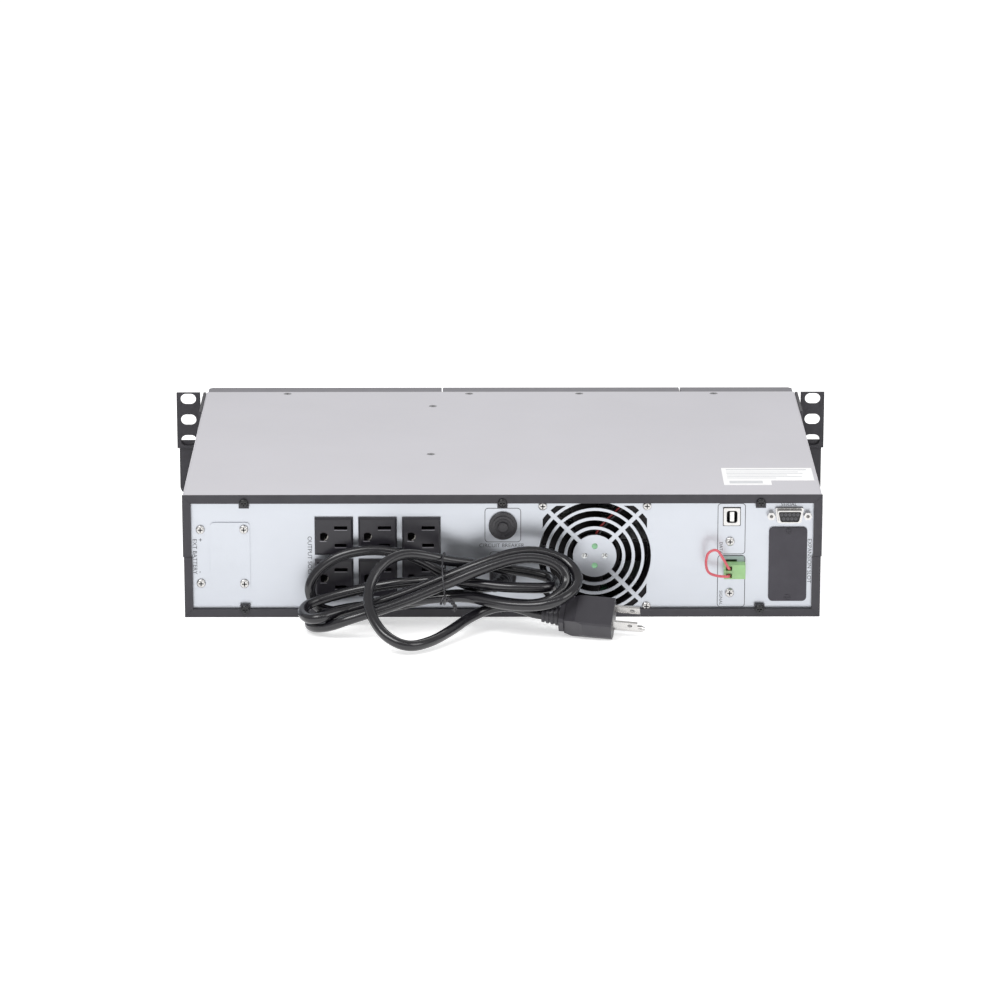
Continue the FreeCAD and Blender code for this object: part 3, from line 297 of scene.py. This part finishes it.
# The lead's route, as (x, distance out from the rear frame, z): out of the gland, through the turns that the tie
# holds, and the long loop that lies forward on the floor and comes back to the plug.
FROM_GLAND = [
    (0.0004, -0.0010, 0.0286), (0.0004, 0.0090, 0.0285), (-0.0026, 0.0170, 0.0283), (-0.0088, 0.0223, 0.0279),
    (-0.0181, 0.0233, 0.0284), (-0.0273, 0.0195, 0.0298), (-0.0393, 0.0135, 0.0341)
]
LEFT_HIGH = [
    (-0.0537, 0.0090, 0.0422), (-0.0715, 0.0080, 0.0490), (-0.0906, 0.0085, 0.0512), (-0.1105, 0.0090, 0.0476),
    (-0.1249, 0.0090, 0.0382), (-0.1329, 0.0095, 0.0259), (-0.1306, 0.0110, 0.0149), (-0.1231, 0.0130, 0.0087),
    (-0.1079, 0.0145, 0.0077), (-0.0729, 0.0160, 0.0127), (-0.0393, 0.0180, 0.0215)
]
RIGHT_INNER = [
    (-0.0229, 0.0270, 0.0242), (-0.0086, 0.0350, 0.0226), (0.0077, 0.0420, 0.0219), (0.0253, 0.0470, 0.0227),
    (0.0392, 0.0445, 0.0293), (0.0446, 0.0370, 0.0373), (0.0386, 0.0330, 0.0466), (0.0254, 0.0320, 0.0516),
    (0.0084, 0.0325, 0.0514), (-0.0120, 0.0355, 0.0455), (-0.0391, 0.0395, 0.0350)
]
LEFT_LOW = [
    (-0.0723, 0.0495, 0.0235), (-0.1035, 0.0555, 0.0154), (-0.1172, 0.0500, 0.0086), (-0.1266, 0.0435, 0.0058),
    (-0.1317, 0.0345, 0.0046), (-0.1311, 0.0255, 0.0050), (-0.1243, 0.0205, 0.0078), (-0.1070, 0.0220, 0.0130),
    (-0.0727, 0.0260, 0.0186), (-0.0393, 0.0265, 0.0223)
]
RIGHT_OUTER = [
    (-0.0229, 0.0355, 0.0249), (-0.0086, 0.0445, 0.0241), (0.0076, 0.0530, 0.0238), (0.0264, 0.0595, 0.0257),
    (0.0434, 0.0560, 0.0303), (0.0532, 0.0375, 0.0375), (0.0443, 0.0235, 0.0474), (0.0255, 0.0210, 0.0532),
    (0.0085, 0.0240, 0.0534), (-0.0120, 0.0280, 0.0475), (-0.0392, 0.0295, 0.0370)
]
LEFT_MIDDLE = [
    (-0.0725, 0.0365, 0.0250), (-0.1010, 0.0395, 0.0176), (-0.1150, 0.0465, 0.0164), (-0.1233, 0.0520, 0.0152),
    (-0.1303, 0.0500, 0.0138), (-0.1350, 0.0430, 0.0140), (-0.1363, 0.0340, 0.0152), (-0.1326, 0.0250, 0.0169),
    (-0.1208, 0.0186, 0.0196), (-0.0968, 0.0165, 0.0251), (-0.0687, 0.0185, 0.0306), (-0.0393, 0.0225, 0.0335)
]
RIGHT_SHORT = [
    (-0.0249, 0.0280, 0.0334), (-0.0018, 0.0385, 0.0329), (0.0192, 0.0405, 0.0328), (0.0311, 0.0380, 0.0320),
    (0.0364, 0.0280, 0.0322), (0.0324, 0.0180, 0.0339), (0.0195, 0.0140, 0.0359), (-0.0017, 0.0150, 0.0395),
    (-0.0222, 0.0190, 0.0439), (-0.0392, 0.0240, 0.0475)
]
FRONT_LOOP = [
    (-0.0535, 0.0280, 0.0525), (-0.0677, 0.0320, 0.0548), (-0.0804, 0.0390, 0.0508), (-0.0898, 0.0490, 0.0397),
    (-0.0913, 0.0610, 0.0284), (-0.0867, 0.0740, 0.0190), (-0.0778, 0.0850, 0.0110), (-0.0637, 0.0900, 0.0060),
    (-0.0484, 0.0780, 0.0060), (-0.0344, 0.0585, 0.0085), (-0.0225, 0.0410, 0.0122), (-0.0085, 0.0300, 0.0154),
    (0.0040, 0.0285, 0.0168), (0.0135, 0.0345, 0.0162), (0.0220, 0.0405, 0.0144), (0.0319, 0.0420, 0.01401)
]
CORD_ROUTE = (FROM_GLAND + LEFT_HIGH + RIGHT_INNER + LEFT_LOW + RIGHT_OUTER + LEFT_MIDDLE + RIGHT_SHORT
              + FRONT_LOOP)


def out_points(route):
    return [(x, REAR_Y - out, z) for x, out, z in route]


def tapered_sleeve(points, rings):
    """A sleeve along points, whose radius at each share of its length is given, closed at both ends."""
    lengths = [0.0]
    for a, b in zip(points, points[1:]):
        lengths.append(lengths[-1] + (b - a).length)
    mesh = bmesh.new()
    loops = []
    for share, radius in rings:
        target = share * lengths[-1]
        i = max(k for k, reach in enumerate(lengths[:-1]) if reach <= target + 1e-9)
        centre = points[i].lerp(points[i + 1], (target - lengths[i]) / (lengths[i + 1] - lengths[i]))
        heading = (points[min(i + 2, len(points) - 1)] - points[max(i - 1, 0)]).normalized()
        side = heading.cross(Vector((0, 0, 1))).normalized()
        up = side.cross(heading)
        turn = [math.tau * k / 32 for k in range(32)]
        loops.append([mesh.verts.new(centre + radius * (side * math.cos(a) + up * math.sin(a))) for a in turn])
    for a, b in zip(loops, loops[1:]):
        for k in range(32):
            mesh.faces.new((a[k], a[(k + 1) % 32], b[(k + 1) % 32], b[k]))
    mesh.faces.new(loops[0][::-1])
    mesh.faces.new(loops[-1])
    bmesh.ops.recalc_face_normals(mesh, faces=mesh.faces)
    data = bpy.data.meshes.new("sleeve")
    mesh.to_mesh(data)
    mesh.free()
    for face in data.polygons:
        face.use_smooth = True
    return data


def ribbed_rings(count, start, end):
    """Radii of a sleeve that tapers from start to end with round ribs between narrow grooves."""
    rings = []
    for i in range(count):
        radius = start + (end - start) * i / (count - 1)
        for across, lift in ((0.0, -0.55), (0.12, -0.5), (0.24, 0.0), (0.72, 0.0), (0.86, -0.5)):
            rings.append(((i + across) / count, radius + lift * MM))
    return rings + [(1.0, end - 0.3 * MM)]


RELIEF_LONG = 24 * MM
RELIEF_RIBS = (7, 6.4 * MM, 4.5 * MM)  # how many, and the radius at the gland and at the far end


def first_part(line, length):
    """The points of a line up to a length along it."""
    reach, part = 0.0, [line[0]]
    for a, b in zip(line, line[1:]):
        reach += (b - a).length
        if reach > length:
            break
        part.append(b)
    return part


def make_lead():
    """The mains lead as one tube, its ribbed relief at the gland, and its tie."""
    lead = add("mains_lead", curve(out_points(CORD_ROUTE), CORD_D / 2), "cord")
    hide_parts("cord_inlet_run", "cord_hank", "cord_plug_run")
    near = first_part(line_points(lead.data), RELIEF_LONG)
    relief = add("strain_relief", tapered_sleeve(near, ribbed_rings(*RELIEF_RIBS)), "black_plastic")
    tie = make_tie()


TIE_X = -0.0400
TIE_ROUND = [  # (distance out from the rear frame, z) round the waist of the hank
    (0.0090, 0.0300), (0.0110, 0.0440), (0.0200, 0.0530), (0.0300, 0.0520), (0.0400, 0.0430), (0.0460, 0.0340),
    (0.0400, 0.0230), (0.0270, 0.0165), (0.0150, 0.0160), (0.0080, 0.0210)
]
TIE_ENDS = [  # (x, distance out, z) of the twisted pair, and of the loose end that turns down from the knot
    [(-0.0392, 0.0440, 0.0270), (-0.0366, 0.0462, 0.0262), (-0.0338, 0.0470, 0.0240), (-0.0318, 0.0472, 0.0212),
     (-0.0330, 0.0474, 0.0190)],
    [(-0.0400, 0.0440, 0.0272), (-0.0418, 0.0455, 0.0250), (-0.0420, 0.0462, 0.0226)]
]


def twisted(line, phase, turns, away):
    """Points that wind round a line, starting at the given angle."""
    points = [Vector(p) for p in line]
    made = []
    steps = 6 * (len(points) - 1)
    for k in range(steps + 1):
        i = min(k // 6, len(points) - 2)
        share = (k - 6 * i) / 6
        centre = points[i].lerp(points[i + 1], share)
        heading = (points[i + 1] - points[i]).normalized()
        side = heading.cross(Vector((0, 1, 0))).normalized()
        up = side.cross(heading)
        turn = phase + math.tau * turns * k / steps
        made.append(centre + away * (side * math.cos(turn) + up * math.sin(turn)))
    return made


def make_tie():
    """A thin wire tie drawn round the turns, with its two ends twisted together at the front."""
    waist = [(TIE_X + 0.0012 * math.sin(i * 1.3), REAR_Y - out, z) for i, (out, z) in enumerate(TIE_ROUND)]
    tie = add("cord_tie_loop", curve(waist, 0.6 * MM, cyclic=True), "tie")
    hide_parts("cord_tie")
    pair, loose = (out_points(line) for line in TIE_ENDS)
    for name, line, radius in (("cord_tie_twist_1", twisted(pair, 0.0, 3, 0.75 * MM), 0.75 * MM),
                               ("cord_tie_twist_2", twisted(pair, math.pi, 3, 0.75 * MM), 0.75 * MM),
                               ("cord_tie_loose_end", [Vector(p) for p in loose], 0.8 * MM)):
        strand = add(name, curve(line, radius), "tie")
        strand.parent = tie
    return tie


# ---------------------------------------------------------------- prints and small fittings


def solid(rings, closed=False):
    """A closed mesh through rings with equal numbers of points; the last joins the first when closed."""
    mesh = bmesh.new()
    loops = [[mesh.verts.new(p) for p in points] for points in rings]
    pairs = list(zip(loops, loops[1:])) + ([(loops[-1], loops[0])] if closed else [])
    for a, b in pairs:
        for k in range(len(a)):
            mesh.faces.new((a[k], a[(k + 1) % len(a)], b[(k + 1) % len(a)], b[k]))
    if not closed:
        mesh.faces.new(loops[0][::-1])
        mesh.faces.new(loops[-1])
    bmesh.ops.recalc_face_normals(mesh, faces=mesh.faces)
    data = bpy.data.meshes.new("solid")
    mesh.to_mesh(data)
    mesh.free()
    return data


def joined(meshes):
    """One mesh from several."""
    whole = bmesh.new()
    for data in meshes:
        whole.from_mesh(data)
        bpy.data.meshes.remove(data)
    data = bpy.data.meshes.new("joined")
    whole.to_mesh(data)
    whole.free()
    return data


def slab(outline, low, high, place=at_panel):
    """A plate with an (x, z) outline in millimetres, between two distances out from the rear panel."""
    return solid([[place(x, z, out) for x, z in outline] for out in (low, high)])


def ring(outer, inner, low, high, place=at_panel):
    """A plate with one hole, as slab."""
    faces = ((outer, low), (outer, high), (inner, high), (inner, low))
    return solid([[place(x, z, out) for x, z in outline] for outline, out in faces], closed=True)


def rounded(x0, x1, z0, z1, radius, steps=6):
    """The outline of a rectangle with rounded corners."""
    centres = ((x1 - radius, z1 - radius, 0), (x0 + radius, z1 - radius, 90),
               (x0 + radius, z0 + radius, 180), (x1 - radius, z0 + radius, 270))
    return [(cx + radius * math.cos(math.radians(start + 90 * i / steps)),
             cz + radius * math.sin(math.radians(start + 90 * i / steps)))
            for cx, cz, start in centres for i in range(steps + 1)]


def circle(x, z, radius, steps=24):
    return [(x + radius * math.cos(math.tau * i / steps), z + radius * math.sin(math.tau * i / steps))
            for i in range(steps)]


def piece(name, data, material, body="case"):
    made = add(name, data, material, body)
    return made


def line_frame(x0, x1, z0, z1, radius=2.5, width=0.45):
    """A printed outline on the rear panel."""
    return ring(rounded(x0, x1, z0, z1, radius),
                rounded(x0 + width, x1 - width, z0 + width, z1 - width, radius - width), 0.01, 0.05)


def lettering(text, x, z, size, turned=False, out=0.01):
    """Plain capitals on the rear panel, centred at x, z; turned text reads downwards."""
    data = bpy.data.curves.new("lettering", "FONT")
    data.body = text
    data.size = size * MM * 1.4
    data.align_x, data.align_y = "CENTER", "CENTER"
    data.extrude = 0.02 * MM
    data.resolution_u = 3
    holder = bpy.data.objects.new("lettering", data)
    mesh = bpy.data.meshes.new_from_object(holder)
    bpy.data.objects.remove(holder)
    right, up = ((0, 0, -1), (1, 0, 0)) if turned else ((1, 0, 0), (0, 0, 1))
    right, up = Vector(right), Vector(up)
    turn = Matrix((right, up, right.cross(up))).transposed().to_4x4()
    mesh.transform(Matrix.Translation(at_panel(x, z, out + 0.02)) @ turn)
    return mesh


def make_prints():
    """Printed frames and plain words beside the fittings of the rear panel."""
    frames = [line_frame(-12.2, 12.8, 52.6, 77.0), line_frame(147.6, 166.8, 43.8, 80.2),
              line_frame(147.8, 167.0, 5.9, 43.2), line_frame(-8.9, 9.2, 17.5, 46.0)]
    piece("printed_frames", joined(frames), "ink")
    words = [("OUTPUT SOCKETS", -132.4, 39.3, 3.0, True), ("+", -207.5, 54.5, 3.4, True),
             ("EXT BATTERY", -211.3, 42.6, 2.9, True), ("-", -207.5, 31.5, 3.4, True),
             ("CIRCUIT BREAKER", -0.5, 50.2, 2.7, False), ("DATA", 150.1, 48.4, 2.2, True),
             ("SIGNAL", 150.3, 12.6, 2.2, True), ("SERIAL", 196.4, 79.2, 2.7, False),
             ("EXPANSION SLOT", 210.9, 39.0, 2.8, True)]
    piece("printed_words", joined([lettering(*word) for word in words]), "ink")


def on_cover(x, back, up):
    """A place on the top cover, from x and the distance behind the rear frame's face, in millimetres."""
    return Vector((x * MM, REAR_Y + back * MM, TOP_Z + up * MM))


def make_label_print():
    """Faint blank bars, as of small print, on the cover's label."""
    bars = [(156, 212, 64, 66.5), (156, 206, 58.5, 60), (156, 209, 54.5, 56), (156, 198, 50.5, 52),
            (156, 208, 46.5, 48), (156, 190, 42.5, 44), (157, 180, 29, 36)]
    lines = [slab([(x0, y0), (x1, y0), (x1, y1), (x0, y1)], 0.21, 0.24, on_cover) for x0, x1, y0, y1 in bars]
    piece("label_bars", joined(lines), "pale_ink")


def make_usb():
    """Square data port: a folded metal shell, a white tongue, and dark sheets as painted shade inside the mouth and
    round the shell's edge.
    """
    x, z = DATA_PORT
    mouth = rounded(x - 3.6, x + 3.8, z - 4.3, z + 4.3, 1.7)
    edge = rounded(x - 5.65, x + 5.65, z - 6.15, z + 6.15, 0.8)
    shell = ring(edge, mouth, -15.0, 0.6)
    made = piece("data_port_shell", shell, "nickel")
    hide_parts("usb_port")
    # dark walls and a back inside the mouth, as painted shade
    shade_sheets = [ring(mouth, rounded(x - 3.3, x + 3.5, z - 4.0, z + 4.0, 1.4), -9.0, 0.35), slab(mouth, -9.2, -8.9)]
    # a dark ring round the shell's edge, as a painted shadow gap
    shade_sheets.append(ring(rounded(x - 6.1, x + 6.1, z - 6.6, z + 6.6, 0.9), edge, 0.01, 0.2))
    piece("data_port_painted_shade", joined(shade_sheets), "dark")
    piece("data_port_tongue", slab(rounded(x - 1.3, x + 1.6, z - 3.4, z + 3.4, 0.5), -9.0, 0.1), "white_plastic")


def dee(x, z, half, rise, slope, inset=0.0):
    """The outline of a D-shaped connector, wider at its top."""
    half, rise = half - inset, rise - inset
    return [(x - half, z + rise - 1), (x - half + 0.3, z + rise - 0.3), (x - half + 1, z + rise),
            (x + half - 1, z + rise), (x + half - 0.3, z + rise - 0.3), (x + half, z + rise - 1),
            (x + half - slope, z - rise + 0.8), (x + half - slope - 0.9, z - rise),
            (x - half + slope + 0.9, z - rise), (x - half + slope, z - rise + 0.8)]


def make_serial_face():
    """The serial port's folded rim, with its black insulator and nine contact holes."""
    x, z = SERIAL_PORT
    rim = ring(dee(x, z, 8.45, 4.4, 1.3), dee(x, z, 8.45, 4.4, 1.3, inset=0.75), 5.0, 6.3)
    collar = ring(dee(x, z, 9.7, 5.3, 1.3), dee(x, z, 8.5, 4.45, 1.3), 1.3, 2.4)
    piece("serial_port_rim", joined([rim, collar]), "nickel")
    face = slab(dee(x, z, 8.45, 4.4, 1.3, inset=0.78), 5.21, 5.7)
    ways = [(x - 5.5 + 2.75 * i, z + 1.45) for i in range(5)] + [(x - 4.1 + 2.75 * i, z - 1.45) for i in range(4)]
    piece("serial_port_insulator", face, "dark")
    rims = [ring(circle(a, b, 1.0, 16), circle(a, b, 0.5, 16), 5.69, 5.85) for a, b in ways]
    piece("serial_port_ways", joined(rims), "dot")


def make_socket_details():
    """Metal contacts in the earth holes, and pale strips under the holes as painted highlights on their lower edges.
    """
    contacts, edge_highlights = [], []
    for i in range(1, 7):
        low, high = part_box("output_socket_%d" % i)
        x, z = (low.x + high.x) / 2 / MM, (low.z + high.z) / 2 / MM + OUTLET_DROP
        # The contact is drawn only as an arc at the lower right, where the hole's edge catches light, so it is partly
        # a painted highlight.
        arc = [math.radians(-85 + 12 * k) for k in range(9)]
        outline = [(x - 7 + 2.95 * math.cos(a), z - 0.9 + 2.95 * math.sin(a)) for a in arc]
        outline += [(x - 7 + 2.6 * math.cos(a), z - 0.9 + 2.6 * math.sin(a)) for a in arc[::-1]]
        contacts.append(slab(outline, -8.0, 1.9))
        # pale strips under the holes' lower edges, as painted highlights
        for x0, x1, bottom in ((0.6, 8.5, -8.45), (0.3, 9.2, 4.05), (-9.7, -5.1, -3.9)):
            edge_highlights.append(slab([(x + x0, z + bottom - 0.5), (x + x1, z + bottom - 0.5), (x + x1, z + bottom),
                              (x + x0, z + bottom)], 2.9, 3.06))
    piece("earth_contacts_and_highlights", joined(contacts), "contact")
    piece("slot_edge_highlights", joined(edge_highlights), "edge_highlight")


def fan_centre():
    low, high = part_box("fan_frame")
    return (low.x + high.x) / 2 / MM, (low.z + high.z) / 2 / MM


def make_screw_recess_shade():
    """Dark crosses in the pan-head screws' cross recesses on the rear panel, as painted shade."""
    x0, z0 = fan_centre()
    heads = [(x0 + i * FAN_SCREW_OUT, z0 + k * FAN_SCREW_OUT, 0.0) for i in (-1, 1) for k in (-1, 1)]
    heads += [(x, z, LID_THICK) for x, z in LID_SCREWS] + [(x, z, 0.0) for x, z in PANEL_SCREWS]
    arms = []
    for x, z, out in heads:
        for a, b in ((1.68, 0.4), (0.4, 1.68)):
            arms.append(slab(rounded(x - a, x + a, z - b, z + b, 0.2), out + 0.75, out + 2.05))
    piece("screw_recess_shade", joined(arms), "dark")


def make_fan_details():
    """The fan's round label behind the hub's four holes, and its two wires across the upper vanes."""
    x, z = fan_centre()
    hub_out = (PANEL_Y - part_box("fan_frame")[0].y) / MM
    piece("fan_label", slab(circle(x, z, 13.6, 40), hub_out + 0.01, hub_out + 0.05), "fan_label")
    spots = [slab(circle(x, z + side * 6.9, 3.4), hub_out + 0.045, hub_out + 0.07) for side in (-1, 1)]
    piece("fan_label_spots", joined(spots), "label_green")
    marks = [lettering(text, x + side, z, 2.8, out=hub_out + 0.03) for text, side in (("12", -6.9), ("DC", 6.9))]
    piece("fan_label_marks", joined(marks), "ink")
    # the red wire takes the darkened red, as painted shade
    for name, shift, material, slot_name in (("fan_wire_red", 0.0, "painted_shade_red", "wire_red"),
                                             ("fan_wire_black", 1.9, "black_wire", "black_plastic")):
        line = [at_panel(x + a + shift, z + b - shift * 0.5, hub_out - out) for a, b, out in
                ((0.6, 13.0, 2.2), (1.6, 17.1, 2.6), (6.5, 23.0, 2.8), (12.0, 28.6, 2.8), (17.7, 34.3, 2.6),
                 (20.0, 36.4, 2.2))]
        piece(name, curve(line, 0.75 * MM), material)


def at_front(x, z, out=0.0):
    """A place on the bezel's face, in millimetres; out is away from it."""
    return Vector((x * MM, BEZEL_Y + out * MM, z * MM))


def make_display():
    """The module behind the window, with a few plain cells."""
    piece("display_module", slab(rounded(149.5, 202.5, 43.0, 67.0, 1.0), -8.0, -3.2, at_front), "dark")
    piece("display_glass", slab(rounded(152.0, 200.0, 45.5, 64.5, 0.6), -3.19, -3.0, at_front), "display")
    cells = [slab(rounded(x, x + 5.0, 48.0, 50.5, 0.4), -2.99, -2.95, at_front) for x in (154, 160, 166, 172, 178)]
    cells += [ring(rounded(155, 173, 53, 62, 0.8), rounded(155.7, 172.3, 53.7, 61.3, 0.6), -2.99, -2.95, at_front),
              slab(rounded(157, 168, 55, 60, 0.4), -2.99, -2.95, at_front),
              slab(rounded(178, 198, 54, 56, 0.4), -2.99, -2.95, at_front),
              slab(rounded(178, 192, 59, 61, 0.4), -2.99, -2.95, at_front)]
    piece("display_marks", joined(cells), "ink")


def make_button_marks():
    """A power sign, three bars and a triangle on the three buttons."""
    z = BUTTON_Z
    for name, x in BUTTONS:
        top = (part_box(name)[1].y - BEZEL_Y) / MM
        low, high = top + 0.005, top + 0.04
        if name == "power_button":
            marks = [ring(circle(x, z, 1.9), circle(x, z, 1.5), low, high, at_front),
                     slab(rounded(x - 0.2, x + 0.2, z - 0.2, z + 2.2, 0.15), high, top + 0.06, at_front)]
        elif name == "menu_button":
            marks = [slab(rounded(x - 1.7, x + 1.7, z + rise - 0.2, z + rise + 0.2, 0.15), low, high, at_front)
                     for rise in (-1.1, 0.0, 1.1)]
        else:
            marks = [slab([(x - 1.4, z - 1.0), (x + 1.4, z - 1.0), (x, z + 1.6)], low, high, at_front)]
        piece(name + "_mark", joined(marks), "pale_ink", name)


BEVELLED = {"rear_frame_upper": 0.25, "rear_frame_lower": 0.25, "terminal_cover": 0.2, "slot_cover": 0.25,
            "plug_body": 1.3, "battery_1": 1.0, "battery_2": 1.0, "rack_ear_left": 0.2, "rack_ear_right": 0.2,
            "ear_plate_left": 0.2, "ear_plate_right": 0.2, "battery_door": 0.5,
            "centre_grille": 0.5, "signal_plug": 0.15, "signal_header": 0.1}


def round_edges():
    """Small rounds on sharp edges, as moulded and bent parts have."""
    for name, width in BEVELLED.items():
        weld = NODES[name].modifiers.new("weld", "WELD")
        weld.merge_threshold = 0.002 * MM
        bevel = NODES[name].modifiers.new("round", "BEVEL")
        bevel.width = width * MM
        bevel.segments = 3 if width > 1 else 2
        bevel.limit_method = "ANGLE"
        bevel.angle_limit = math.radians(28 if name == "plug_body" else 50)
        bevel.use_clamp_overlap = True


# ---------------------------------------------------------------- camera, lights and floor

CAMERA_AT = (-0.01494, -3.19521, 0.92546)
CAMERA_LOOK = (0.00420, 0.96387, -0.26633)
LENS = 166.36
SOFTBOXES = (  # name, place, target, size, power
    ("key", (-0.9, -1.2, 1.6), (0, 0, 0), (1.2, 0.9), 16),
    ("fill", (1.3, -0.9, 1.1), (0, 0, 0), (0.9, 0.9), 7),
    ("back", (0.1, 1.4, 1.5), (0, 0, 0), (1.6, 0.7), 8),
    ("strip", (-0.2, -1.0, 1.25), (0, -0.15, 0), (1.8, 0.07), 3.5),
)
FLOOR_HALF = 12.0


def aim(obj, place, direction):
    obj.location = place
    obj.rotation_mode = "QUATERNION"
    obj.rotation_quaternion = Vector(direction).to_track_quat("-Z", "Y")


def make_camera():
    data = bpy.data.cameras.new("camera")
    data.lens = LENS
    data.sensor_width = 36.0
    data.clip_end = 100.0
    camera = bpy.data.objects.new("camera", data)
    bpy.context.scene.collection.objects.link(camera)
    aim(camera, CAMERA_AT, CAMERA_LOOK)
    bpy.context.scene.camera = camera


def softbox(name, place, target, size, power):
    data = bpy.data.lights.new(name, "AREA")
    data.shape = "RECTANGLE"
    data.size, data.size_y = size
    data.energy = power
    light = bpy.data.objects.new(name, data)
    bpy.context.scene.collection.objects.link(light)
    aim(light, place, Vector(target) - Vector(place))


def make_studio():
    world = bpy.data.worlds.new("studio")
    bpy.context.scene.world = world
    world.use_nodes = True
    background = world.node_tree.nodes["Background"]
    background.inputs["Color"].default_value = (1.0, 1.0, 1.0, 1.0)
    background.inputs["Strength"].default_value = 0.55
    for lamp in SOFTBOXES:
        softbox(*lamp)
    bpy.context.scene.view_settings.view_transform = "Standard"
    half = FLOOR_HALF
    mesh = bpy.data.meshes.new("floor")
    mesh.from_pydata([(-half, -half, 0), (half, -half, 0), (half, half, 0), (-half, half, 0)], [], [(0, 1, 2, 3)])
    floor = bpy.data.objects.new("floor", mesh)
    bpy.context.scene.collection.objects.link(floor)
    white, _ = principled("floor_white", (0.90, 0.90, 0.90), 0.9, Emission_Color=(1.0, 1.0, 1.0, 1.0),
                          Emission_Strength=0.52)
    mesh.materials.append(white)


# ---------------------------------------------------------------- the scene

MATERIALS.update(make_materials())
make_camera()
make_lead()
paint_nodes()
make_prints()
make_label_print()
make_usb()
make_serial_face()
make_socket_details()
make_screw_recess_shade()
make_fan_details()
make_display()
make_button_marks()
round_edges()
make_studio()
